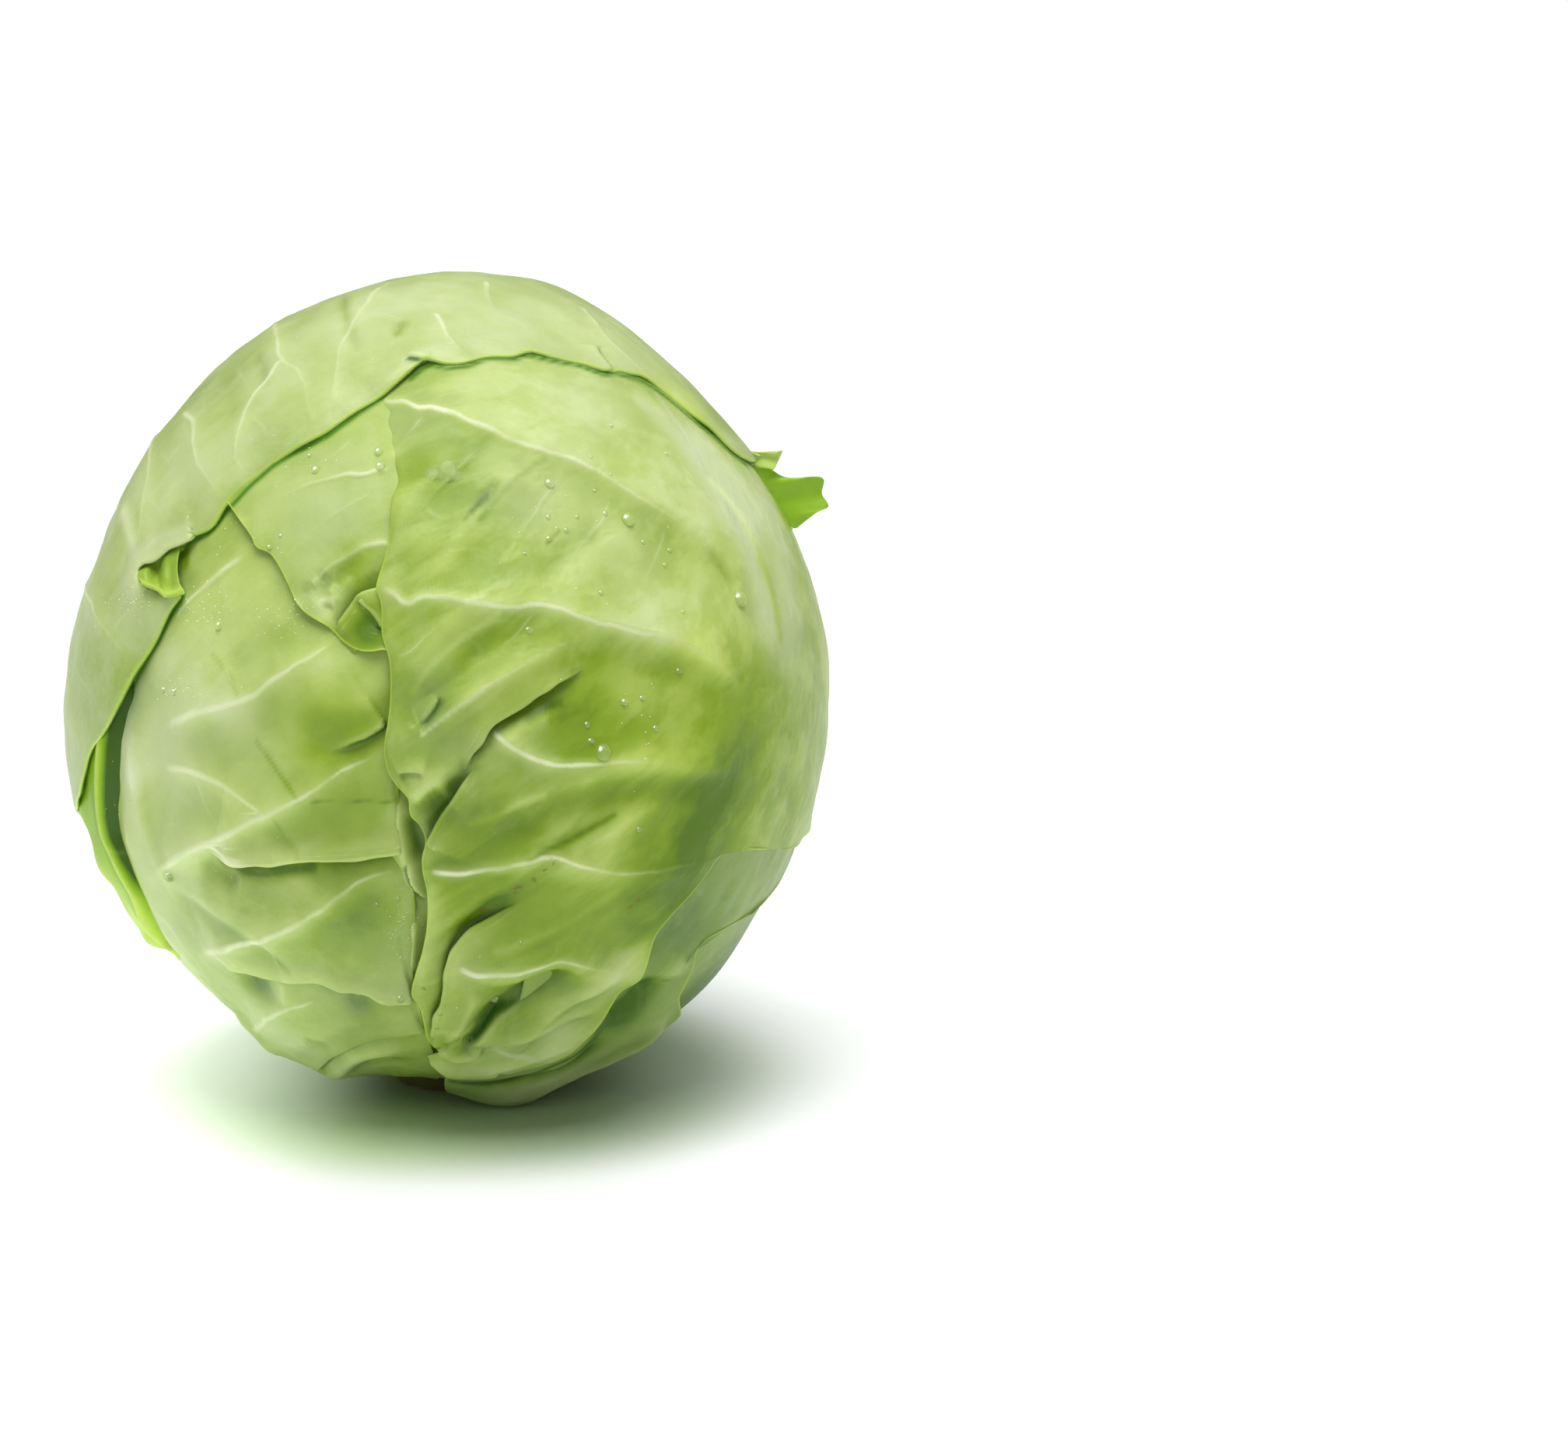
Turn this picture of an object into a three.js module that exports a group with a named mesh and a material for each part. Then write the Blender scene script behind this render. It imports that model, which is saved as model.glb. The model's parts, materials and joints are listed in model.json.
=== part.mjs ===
// A round green cabbage, stood on its cut stalk: a dense heart wrapped in broad leaves.
// Units are millimetres, +Z is up, -Y is the front. The origin is the centre of the stalk's cut face.
// Every leaf is a thin closed shell. Its outline is drawn as directions from the middle of the
// head, and its radius there is the head's own radius plus the leaf's place in the wrapping, so a
// leaf further out in the order never meets one further in.

import * as THREE from 'three';

// Driving dimensions
const HEIGHT_OF_MIDDLE = 90;
const MIDDLE = new THREE.Vector3(2, 0, HEIGHT_OF_MIDDLE);
const WAIST_RADIUS = 84.8;
const SIDE_LEAN = 0.9; // the head is this much fuller on its left than on average
const CROWN_RISE = 6.6; // extra radius at the very top
const BELLY_DROP = 10.3; // extra radius low down, before the hollow round the stalk
const BUTT_HOLLOW = 14;
const BUTT_HOLLOW_SPREAD = 0.21; // radians from straight down
const LEAF_THICKNESS = 0.9;
const STALK_RADIUS = 12.5;
const STALK_FLARE = 13.2;

// Where the head is fuller, or hollower if the height is below 0, than its round shape: azimuth and
// latitude in degrees, reach in degrees and height in mm
const BULGES = [
  [-94, 21, 26, -3], [-83, -35, 25, 2.4], [84, -46, 22, 3.6], [129, 74, 10, 1.8],
  [101, 46, 16, -1.5], [-104, 55, 12, 1],
];

// Where the front outlines are sighted from: 900 mm away, 10 degrees above level
const EYE = new THREE.Vector3(75.8, -887.4, 240.4);
const SIGHT_TILT = THREE.MathUtils.degToRad(10);

// The wrapping: how far each leaf's outer face lies outside the head's radius, mm
const RISE = {
  heart: -6.2, inner: -4.6, left: -3.1, middle: -1.6, right: 0, under: -2, back: -3.6, cap: 1.8,
};

// The head's radius in one direction: nearly a ball, taller at the crown and fuller below
function headRadius(d) {
  const up = Math.max(d.z, 0);
  const down = Math.max(-d.z, 0);
  const fromButt = Math.acos(Math.min(down, 1)) / BUTT_HOLLOW_SPREAD;
  const hollow = BUTT_HOLLOW * Math.exp(-fromButt * fromButt);
  const bulges = BULGES.reduce((sum, [azimuth, latitude, reach, height]) => {
    const away = THREE.MathUtils.radToDeg(d.angleTo(at(azimuth, latitude))) / reach;
    return sum + height * Math.exp(-away * away);
  }, 0);
  return WAIST_RADIUS - SIDE_LEAN * d.x + CROWN_RISE * up ** 5 + BELLY_DROP * down ** 4.5
    - hollow + bulges;
}

// A direction by compass: azimuth 0 is the front and 90 the right, latitude 90 the top, in degrees
function at(azimuth, latitude) {
  const a = THREE.MathUtils.degToRad(azimuth);
  const e = THREE.MathUtils.degToRad(latitude);
  return new THREE.Vector3(Math.sin(a) * Math.cos(e), -Math.cos(a) * Math.cos(e), Math.sin(e));
}

// A direction by sight: the spot on the head that is seen from EYE at x mm right of the stalk's
// axis and z mm above the height of the middle, both measured in the upright sighting plane there
function seen(x, z) {
  const ray = new THREE.Vector3(
    x,
    z * Math.sin(SIGHT_TILT),
    HEIGHT_OF_MIDDLE + z * Math.cos(SIGHT_TILT),
  );
  ray.sub(EYE).normalize();
  const passing = EYE.clone().sub(MIDDLE);
  passing.addScaledVector(ray, -passing.dot(ray));
  let d = passing.clone().normalize();
  for (let pass = 0; pass < 8; pass++) {
    const back = Math.sqrt(Math.max(headRadius(d) ** 2 - passing.lengthSq(), 0));
    d = passing.clone().addScaledVector(ray, -back).normalize();
  }
  return d;
}

const sighted = (points) => points.map(([x, z]) => seen(x, z));

// How near a direction is to a path: 1 on it, 0 at `reach` mm to either side. `along` runs from 0
// to 1 down the path, and `side` is +1 to the left of it and -1 to the right, seen from outside.
function nearness(d, path, reach) {
  let best = { near: 0, along: 0, side: 1, distance: Infinity };
  const last = path.length - 1;
  for (let i = 0; i < last; i++) {
    const step = path[i + 1].clone().sub(path[i]);
    const t = THREE.MathUtils.clamp(d.clone().sub(path[i]).dot(step) / step.lengthSq(), 0, 1);
    const foot = path[i].clone().addScaledVector(step, t);
    const off = d.clone().sub(foot);
    const distance = off.length() * WAIST_RADIUS;
    if (distance < best.distance) {
      const side = Math.sign(d.clone().cross(step).dot(off)) || 1;
      best = { near: Math.max(0, 1 - distance / reach), along: (i + t) / last, side, distance };
    }
  }
  return best;
}

// A vein stands up from the blade and fades towards its end
function vein(points, height, reach) {
  const path = sighted(points);
  return (d) => {
    const { near, along } = nearness(d, path, reach);
    return height * near * (1 - 0.6 * along);
  };
}

// A pleat: the blade swells up to a lip along the path and drops away past it
function pleat(points, height, reach, lipSide) {
  const path = sighted(points);
  return (d) => {
    const { near, along, side } = nearness(d, path, reach);
    const swell = near * near * Math.sin(Math.PI * Math.min(along + 0.12, 1));
    return side === lipSide ? height * swell : 0;
  };
}

// A soft swelling (or a hollow, if height is below 0) round one spot
function swelling(centre, height, reach) {
  return (d) => height * Math.exp(-1 * ((d.distanceTo(centre) * WAIST_RADIUS) / reach) ** 2);
}

// The margin of a leaf lifts in waves: `edge` is 0 for the left margin and 1 for the right one
function waves(edge, height, count, from = 0, to = 1) {
  return (d, u, v) => {
    const inward = Math.abs(u - edge);
    const fade = Math.max(0, 1 - inward / 0.14) ** 2;
    const stretch = THREE.MathUtils.smoothstep(v, from, from + 0.05)
      * (1 - THREE.MathUtils.smoothstep(v, to - 0.05, to));
    return height * fade * stretch * (0.55 + 0.45 * Math.sin(2 * Math.PI * count * v));
  };
}

// The direction a share t of the way round from a to b
function arc(a, b, t) {
  const angle = a.angleTo(b);
  if (angle < 1e-6) return a.clone();
  return a.clone().multiplyScalar(Math.sin((1 - t) * angle) / Math.sin(angle))
    .addScaledVector(b, Math.sin(t * angle) / Math.sin(angle));
}

// A midrib up the middle of a leaf, thickest near the stalk
function midrib(height, halfWidth) {
  return (d, u, v) => height * Math.max(0, 1 - Math.abs(u - 0.5) / halfWidth)
    * THREE.MathUtils.smoothstep(v, -0.06, 0.2) * Math.max(0, 1 - 1.1 * v);
}

// Side veins that leave the midrib to both sides and lean towards the tip, between two values of u
function sideVeins(count, height, from, to) {
  const halfWidth = 0.035;
  return (d, u, v) => {
    const turn = (v - 0.5 * Math.abs(u - 0.5)) * count;
    const off = Math.abs(turn - Math.round(turn)) / count;
    const fade = THREE.MathUtils.smoothstep(v, 0, 0.15)
      * THREE.MathUtils.smoothstep(u, from, from + 0.1)
      * (1 - THREE.MathUtils.smoothstep(u, to - 0.1, to));
    return height * fade * Math.max(0, 1 - off / halfWidth);
  };
}

// The lowest bulge, beside the stalk: the under leaf makes it and the right leaf follows it
const lobe = swelling(seen(17, -94.5), 3.4, 9);

// A closed shell between two grids of points that have the same rows and columns
function shell(outer, inner, rows, columns) {
  const width = columns + 1;
  const count = outer.length;
  const indices = [];
  const quad = (a, b, c, e) => indices.push(a, b, c, a, c, e);
  for (let i = 0; i < rows; i++) {
    for (let j = 0; j < columns; j++) {
      const a = i * width + j;
      quad(a, a + 1, a + width + 1, a + width);
      indices.push(count + a, count + a + width + 1, count + a + 1);
      indices.push(count + a, count + a + width, count + a + width + 1);
    }
  }
  const rim = [];
  for (let j = 0; j < columns; j++) rim.push(j);
  for (let i = 0; i < rows; i++) rim.push(i * width + columns);
  for (let j = columns; j > 0; j--) rim.push(rows * width + j);
  for (let i = rows; i > 0; i--) rim.push(i * width);
  rim.forEach((a, k) => {
    const b = rim[(k + 1) % rim.length];
    quad(a, count + a, count + b, b);
  });
  const geometry = new THREE.BufferGeometry();
  geometry.setAttribute('position', new THREE.Float32BufferAttribute(
    [...outer, ...inner].flatMap((p) => [p.x, p.y, p.z]), 3));
  geometry.setIndex(indices);
  geometry.computeVertexNormals();
  return geometry;
}

// A leaf between its left margin, its middle line and its right margin, each a list of directions
// from the stalk to the tip as the leaf is seen from outside. `shape` adds to the radius in mm.
function leafGeometry({ margins, rise, rows, columns, shape = [] }) {
  const curves = margins.map((points) => new THREE.CatmullRomCurve3(points, false, 'centripetal'));
  const grid = [];
  for (let i = 0; i <= rows; i++) {
    const v = i / rows;
    const [left, middle, right] = curves.map((curve) => curve.getPointAt(v).normalize());
    for (let j = 0; j <= columns; j++) {
      const u = j / columns;
      const d = u < 0.5 ? arc(left, middle, 2 * u) : arc(middle, right, 2 * u - 1);
      const extra = shape.reduce((sum, f) => sum + f(d, u, v), 0);
      grid.push(d.clone().multiplyScalar(headRadius(d) + rise + extra).add(MIDDLE));
    }
  }
  const width = columns + 1;
  const point = (i, j) => grid[
    THREE.MathUtils.clamp(i, 0, rows) * width + THREE.MathUtils.clamp(j, 0, columns)];
  const inner = grid.map((p, k) => {
    const i = Math.floor(k / width);
    const j = k % width;
    const across = point(i, j + 1).clone().sub(point(i, j - 1));
    const upward = point(i + 1, j).clone().sub(point(i - 1, j));
    return p.clone().addScaledVector(across.cross(upward).normalize(), -LEAF_THICKNESS);
  });
  return shell(grid, inner, rows, columns);
}

function mesh(name, geometry, colour, roughness = 0.5) {
  const material = new THREE.MeshStandardMaterial({ color: colour, roughness, metalness: 0 });
  const piece = new THREE.Mesh(geometry, material);
  piece.name = name;
  return piece;
}

// The stalk: a short round stump with a flat cut face, flaring to where the leaves spring from
function stalk() {
  const heartBottom = HEIGHT_OF_MIDDLE - headRadius(at(0, -90)) - RISE.heart;
  const profile = [
    [0, 0], [STALK_RADIUS - 0.8, 0], [STALK_RADIUS, 0.8], [STALK_RADIUS - 0.5, 3],
    [STALK_FLARE, 6.6], [STALK_FLARE / 2, heartBottom - 4], [0, heartBottom - 1],
  ].map(([r, z]) => new THREE.Vector2(r, z));
  const turned = new THREE.LatheGeometry(profile, 28);
  turned.rotateX(Math.PI / 2);
  return mesh('stalk', turned, '#c7b283', 0.75);
}

// The heart: the tight inner leaves, grown into one dense ball
function heart() {
  const ball = new THREE.SphereGeometry(1, 28, 18);
  ball.rotateX(Math.PI / 2);
  const position = ball.attributes.position;
  for (let k = 0; k < position.count; k++) {
    const d = new THREE.Vector3().fromBufferAttribute(position, k).normalize();
    const p = d.clone().multiplyScalar(headRadius(d) + RISE.heart).add(MIDDLE);
    position.setXYZ(k, p.x, p.y, p.z);
  }
  return mesh('heart', ball, '#d9e3a4', 0.5);
}

// The leaf that closes the front from inside, glimpsed down the seam between left and right
function innerLeaf() {
  return mesh('inner_leaf', leafGeometry({
    rise: RISE.inner, rows: 14, columns: 6,
    margins: [
      [at(-22, -79), at(-26, -50), at(-26, -20), at(-22, 15)],
      [at(-4, -79), at(-6, -50), at(-6, -20), at(-6, 15)],
      [at(14, -79), at(14, -50), at(16, -20), at(10, 15)],
    ],
  }), '#a7c263');
}

// The left leaf: pale towards its left margin, pleated level across, closed by the seam
function leftLeaf() {
  const seam = sighted([
    [-2.6, -87], [-4.9, -81], [-6, -77], [-8, -69], [-7.6, -52.5], [-9.3, -40.5], [-10.4, -32],
    [-11.6, -24], [-11, -17], [-9.3, -11], [-8.6, -2], [-8.9, 7], [-10, 19], [-12.3, 33],
    [-17.5, 49], [-22, 59], [-28, 65],
  ]);
  return mesh('left_leaf', leafGeometry({
    rise: RISE.left, rows: 26, columns: 18,
    margins: [
      [at(-100, -78), at(-112, -55), at(-116, -25), at(-112, 5), at(-104, 35), at(-90, 58)],
      [at(-55, -78), at(-54, -55), at(-54, -25), at(-54, 5), at(-56, 35), at(-60, 62)],
      [at(-12, -78), ...seam],
    ],
    shape: [
      vein([[-64, -8.5], [-46, -2.5], [-38, 3], [-27, 9.5]], 1.1, 7),
      vein([[-66, -41.5], [-51, -33], [-34, -24.5], [-18, -14.5]], 1.1, 7),
      vein([[-57, -62], [-41, -56], [-26, -47.5], [-12, -41]], 1, 7),
      pleat([[-52, -38.5], [-42.5, -40], [-34.5, -39.5], [-23, -38.5], [-9, -37.5]], 3, 13, 1),
      pleat([[-50.5, -61.5], [-36.5, -65], [-23.5, -67.5], [-8, -70]], 2.6, 12, 1),
      pleat([[-40, -89], [-31, -84.5], [-20.5, -79.5], [-8, -77]], 2.2, 11, -1),
      swelling(seen(-34, 0), 1.2, 9),
      swelling(seen(-24, 62), -0.8, 14),
    ],
  }), '#a3ba5f');
}

// The small leaf that shows between the left leaf, the right one and the cap, its margin curled
function middleLeaf() {
  const margin = sighted([
    [-14, 7], [-20, 9], [-23.5, 11], [-26.5, 14], [-32, 17.5], [-35, 22], [-37, 26], [-40, 31],
    [-44, 34.5], [-49, 41.5],
  ]);
  return mesh('middle_leaf', leafGeometry({
    rise: RISE.middle, rows: 14, columns: 10,
    margins: [
      [seen(-6, 4), ...margin, at(-62, 42), at(-60, 55)],
      [seen(-3, 14), seen(-10, 24), seen(-20, 37), seen(-32, 50), at(-45, 60)],
      [seen(4, 20), seen(0, 40), seen(-4, 58), seen(-8, 70), at(-12, 68)],
    ],
    shape: [
      vein([[-16, 26], [-24, 25], [-34, 27]], 0.8, 5),
      pleat([[-16, 17], [-20, 18.5], [-22.5, 14], [-20, 10]], 2, 6, 1),
      waves(0, 0.9, 5, 0.2, 0.75),
    ],
  }), '#b3c878');
}

// The right leaf: the broad front leaf, gathered in deep pleats that run up from the seam
function rightLeaf() {
  const seam = sighted([
    [0.5, -88.5], [-1.5, -86.5], [-3, -81], [-6, -71], [-6.5, -66], [-5, -58], [-4.5, -50],
    [-5.5, -41], [-5, -34.5], [-7.5, -26], [-11, -21], [-13.5, -16], [-14, -10], [-13, -1],
    [-15, 13], [-15.5, 25], [-13, 38], [-13.5, 52],
  ]);
  const lowerMargin = sighted([
    [8, -89], [18, -86], [27.5, -82], [34, -75.5], [40, -67.5], [45, -61], [48.5, -53], [54, -46],
    [60, -39],
  ]);
  return mesh('right_leaf', leafGeometry({
    rise: RISE.right, rows: 30, columns: 20,
    margins: [
      [at(4, -79.3), ...seam, at(-12, 60), at(-14, 70)],
      [at(10, -79.3), seen(10, -84), seen(20, -68), seen(27, -45), seen(31, -15), seen(31, 20),
        seen(27, 55), at(30, 74)],
      [at(20, -79.3), ...lowerMargin, at(92, -20), at(108, 5), at(108, 30), at(95, 52)],
    ],
    shape: [
      vein([[-6.5, 64], [9.5, 59], [28, 52], [50, 39.5], [62, 30]], 1.2, 7),
      vein([[-14.5, 23], [1, 20.5], [15, 18.5], [39, 14], [62.5, 4]], 1.4, 7),
      vein([[10, -9.5], [23.5, -16.5], [41, -16], [63, -17.5]], 1.1, 7),
      vein([[-4, -41], [9.5, -40], [26, -38], [39, -41], [58.5, -38.5]], 1.3, 7),
      vein([[3.5, -62.5], [16, -63.5], [25.5, -61.5], [41.5, -63.5]], 1.2, 6),
      pleat([[-5, -34.5], [3, -20.5], [8, -10.5], [15.5, -4], [30, 4]], 3.2, 15, 1),
      pleat([[34, -31], [20, -39], [12, -47], [4, -54.5], [-0.5, -62.5], [-3, -74.5],
        [-4.5, -80]], 3.4, 15, 1),
      pleat([[1.5, -82], [13, -72], [26, -63]], 2.4, 10, 1),
      lobe,
      waves(0, 0.9, 7, 0.02, 0.62),
      waves(1, 0.8, 9, 0.1, 0.4),
    ],
  }), '#a9c266');
}

// The leaf under the right one, which rounds the belly and comes lowest beside the stalk
function underLeaf() {
  const margin = sighted([[45.5, -77.5], [51, -73.5], [56, -65.5], [59, -58]]);
  return mesh('under_leaf', leafGeometry({
    rise: RISE.under, rows: 18, columns: 12,
    margins: [
      [at(-4, -79.3), seen(4, -86), at(14, -52), at(18, -28), at(28, -6)],
      [at(26, -79.3), seen(20, -86), at(40, -55), at(52, -30), at(58, -6)],
      [at(50, -79.3), at(58, -71), ...margin, at(84, -26), at(88, -6)],
    ],
    shape: [
      lobe,
      waves(1, 0.9, 5, 0.15, 0.6),
    ],
  }), '#8fae58');
}

// The leaf that wraps the right of the back, its left part tucked under the two right leaves
function backLeaf() {
  return mesh('back_leaf', leafGeometry({
    rise: RISE.back, rows: 18, columns: 16,
    margins: [
      [at(40, -79.3), at(52, -50), at(62, -20), at(72, 12), at(80, 42)],
      [at(104, -79.3), at(120, -50), at(130, -15), at(132, 20), at(130, 52)],
      [at(168, -79.3), at(178, -50), at(184, -15), at(184, 20), at(190, 50)],
    ],
    shape: [
      midrib(1.6, 0.1),
      sideVeins(6, 0.9, 0.4, 1.1),
    ],
  }), '#9bb65c');
}

// The outer left leaf: a fresh green margin that hangs from under the cap, low on the left
function outerLeftLeaf() {
  return mesh('outer_left_leaf', leafGeometry({
    rise: RISE.right, rows: 20, columns: 10,
    margins: [
      [at(-136, -78.5), at(-146, -50), at(-148, -15), at(-142, 18)],
      [at(-104, -78.5), at(-108, -52), at(-108, -15), at(-108, 20)],
      [at(-112, -78.5), at(-104, -62), at(-90, -48), seen(-62, -59), seen(-68, -46),
        seen(-73, -36), seen(-75, -22), seen(-74, -5), seen(-68, 10), at(-66, 22)],
    ],
    shape: [
      waves(1, 1.4, 9, 0.08, 0.36),
    ],
  }), '#86a83c');
}

// The cap: the big outer leaf, midrib up the back, folded over the crown and down the left. Its
// margin crosses the front under the crown, and behind the right shoulder it flares into a frill.
function capLeaf() {
  const frontMargin = sighted([
    [-81, -24], [-80, -16], [-74.5, -5], [-69.5, 5], [-65.5, 11.5], [-62, 18], [-60.5, 25],
    [-58.5, 32], [-53, 37], [-44, 47.5], [-34.5, 54], [-27.5, 58], [-21, 62.5], [-14.5, 67],
    [-8.5, 71], [-4, 73.8], [4, 73.5], [14.5, 75], [22, 75.5], [30, 74], [38, 72], [44, 70.5],
    [56, 61.5], [64, 54],
  ]);
  const frill = at(98, 29);
  return mesh('cap_leaf', leafGeometry({
    rise: RISE.cap, rows: 38, columns: 24,
    margins: [
      [at(172, -78.5), at(160, -50), at(146, -22), at(134, -2), at(120, 12), at(104, 22),
        at(97, 30)],
      [at(-168, -78.5), at(-158, -40), at(-158, 0), at(-162, 40), at(170, 72), at(118, 70),
        at(100, 44)],
      [at(-126, -78.5), at(-112, -58), at(-98, -38), ...frontMargin, at(96, 37)],
    ],
    shape: [
      midrib(2.4, 0.08),
      sideVeins(9, 0.9, -0.1, 0.78),
      vein([[-39, 83], [-37.5, 75], [-33, 71.5], [-31.5, 66], [-29, 59]], 0.9, 6),
      vein([[-59, 62], [-55, 56], [-53, 48], [-50, 44]], 0.8, 6),
      vein([[30, 86], [37, 78], [50, 66]], 0.8, 6),
      swelling(frill, 9, 7.5),
      waves(0, 1.6, 9, 0.3, 1),
      waves(1, 1, 17, 0.12, 0.97),
    ],
  }), '#c6d596');
}

const cabbage = new THREE.Group();
cabbage.add(
  stalk(), heart(), innerLeaf(), leftLeaf(), middleLeaf(), rightLeaf(), underLeaf(), backLeaf(),
  outerLeftLeaf(), capLeaf(),
);

export default cabbage;
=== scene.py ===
"""A round green cabbage head, stood on its cut stalk: fine leaves, heart, stalk and water drops.

Lengths inside the script are millimetres until a mesh is filled. The head's middle, its radius in
every direction and the order of wrapping are those of the frame's solids, so each fine leaf lies
where its solid does. Spots on the front are named by the pixel of the 2016 x 1844 frame that the
camera sees them at, and spots on the hidden sides by azimuth and latitude.
"""

import json
import math

import bpy
import numpy as np
from bpy.props import FloatProperty, FloatVectorProperty, PointerProperty
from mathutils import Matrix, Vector
from mathutils.bvhtree import BVHTree

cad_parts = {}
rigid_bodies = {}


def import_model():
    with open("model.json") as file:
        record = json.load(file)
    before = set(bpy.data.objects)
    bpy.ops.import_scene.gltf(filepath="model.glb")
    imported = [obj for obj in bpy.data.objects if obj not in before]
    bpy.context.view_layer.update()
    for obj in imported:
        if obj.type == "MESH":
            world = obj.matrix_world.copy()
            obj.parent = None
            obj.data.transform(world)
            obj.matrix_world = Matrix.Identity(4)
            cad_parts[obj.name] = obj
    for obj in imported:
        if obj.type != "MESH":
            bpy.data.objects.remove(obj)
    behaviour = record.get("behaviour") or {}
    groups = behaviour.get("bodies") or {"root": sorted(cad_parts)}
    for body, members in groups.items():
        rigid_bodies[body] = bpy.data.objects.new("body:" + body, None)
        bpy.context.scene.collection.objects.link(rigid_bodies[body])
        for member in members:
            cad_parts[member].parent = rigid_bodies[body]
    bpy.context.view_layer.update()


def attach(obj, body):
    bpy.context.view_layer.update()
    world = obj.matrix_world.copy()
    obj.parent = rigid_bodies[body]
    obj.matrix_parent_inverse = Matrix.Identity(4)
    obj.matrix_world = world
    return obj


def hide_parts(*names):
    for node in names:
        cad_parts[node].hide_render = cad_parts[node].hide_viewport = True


bl_info = {
    "name": "Cabbage Head",
    "version": (1, 0, 0),
    "blender": (4, 5, 0),
    "location": "View3D > Sidebar > Cabbage",
    "description": "Builds a round green cabbage from its wrapping leaves, heart and stalk",
    "category": "Add Mesh",
}

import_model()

METRE = 0.001  # one millimetre in Blender's unit

# ---------------------------------------------------------------- the head's form, in millimetres

HEIGHT_OF_MIDDLE = 90.0
MIDDLE = np.array([2.0, 0.0, HEIGHT_OF_MIDDLE])
WAIST_RADIUS = 84.8
SIDE_LEAN = 0.9
CROWN_RISE = 6.6
BELLY_DROP = 10.3
BUTT_HOLLOW = 14.0
BUTT_HOLLOW_SPREAD = 0.21
BULGES = [  # azimuth, latitude and reach in degrees, height: fuller, or hollower below 0
    (-94, 21, 26, -3.0), (-83, -35, 25, 2.4), (84, -46, 22, 3.6), (129, 74, 10, 1.8),
    (101, 46, 16, -1.5), (-104, 55, 12, 1.0),
]
STALK_RADIUS = 12.5
RISE = {
    "heart": -6.2, "inner": -4.6, "left": -3.1, "middle": -1.6, "right": 0.0, "under": -2.0,
    "back": -3.6, "outer_left": 0.0, "cap": 1.8,
}

# ---------------------------------------------------------------- the camera

FRAME_SIZE = (2016, 1844)
MM_PER_PIXEL = 0.175  # in the upright plane through the stalk's axis
AXIS_PIXEL = (575.0, 888.0)  # where the stalk's axis passes the height of the middle
CAMERA_DISTANCE = 900.0
CAMERA_TILT = math.radians(10)
SENSOR_WIDTH = 36.0
FLOOR_HALF = 40000.0  # half the floor's width, so far that its edge is at the horizon

SKY = (-0.1, 1.0, 0.18, 0.5)  # height on the unit sky from and to, and its strength there
SUN_FROM = (0.02, -0.22, 0.96)
# GLINT_FROM: the way the water drops' painted glint faces
GLINT_FROM = (-0.25, -0.75, 0.62)  # where the water drops catch the light
SUN_POWER = 2.7
DIM_SIDE = (0.93, 0.1, -0.35)  # the low right of the surroundings is dim
DIM_REACH = (0.3, 0.85)  # cosines of the angle to that side where the dimming starts and is full
DIM_SHARE = 0.75
SUN_SPREAD = 45.0  # degrees across

SIGHT_RIGHT = np.array([1.0, 0.0, 0.0])
SIGHT_UP = np.array([0.0, math.sin(CAMERA_TILT), math.cos(CAMERA_TILT)])
SIGHT_AHEAD = np.array([0.0, math.cos(CAMERA_TILT), -math.sin(CAMERA_TILT)])
EYE = (
    np.array([0.0, 0.0, HEIGHT_OF_MIDDLE])
    + SIGHT_RIGHT * (FRAME_SIZE[0] / 2 - AXIS_PIXEL[0]) * MM_PER_PIXEL
    - SIGHT_UP * (FRAME_SIZE[1] / 2 - AXIS_PIXEL[1]) * MM_PER_PIXEL
    - SIGHT_AHEAD * CAMERA_DISTANCE
)

# ---------------------------------------------------------------- outlines and veins, in pixels

CAP_FRONT_MARGIN = [
    (100, 1036), (104, 1020), (108, 1000), (112, 978), (119, 960), (131, 946), (149, 921),
    (162, 895),
    (178, 860), (200, 821), (219, 785), (232, 764), (226, 748),
    (223, 728), (229, 707), (242, 694), (271, 677), (292, 649), (323, 617), (353, 592),
    (378, 578), (400, 567), (418, 557),
    (440, 541), (455, 530), (492, 506), (526, 482), (547, 468), (574, 469), (597, 467), (627, 458),
    (659, 458), (682, 453), (700, 457), (721, 461), (746, 466), (778, 477), (792, 476), (810, 481),
    (826, 485), (861, 508), (895, 537), (918, 556), (941, 578), (962, 594),
]
RIGHT_SEAM = [
    (579, 1393), (568, 1381), (567, 1366), (556, 1352), (549, 1342), (544, 1322), (538, 1298),
    (529, 1284), (534, 1254), (544, 1219), (549, 1189), (549, 1150), (543, 1125), (542, 1105),
    (546, 1087), (538, 1064), (528, 1053), (525, 1041), (525, 1029), (511, 1013), (499, 996),
    (493, 976), (493, 960), (499, 923), (501, 894), (499, 849), (490, 815), (489, 775), (484, 757),
    (486, 746), (493, 715), (500, 684), (502, 638), (501, 604), (494, 581), (490, 560), (484, 530),
    (480, 500),
]
RIGHT_LOWER_MARGIN = [
    (614, 1389), (651, 1381), (676, 1374), (705, 1364), (733, 1352), (760, 1329), (770, 1317),
    (785, 1292), (799, 1273), (820, 1257), (831, 1236), (847, 1200), (865, 1172), (884, 1151),
    (907, 1126), (935, 1096),
]
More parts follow.
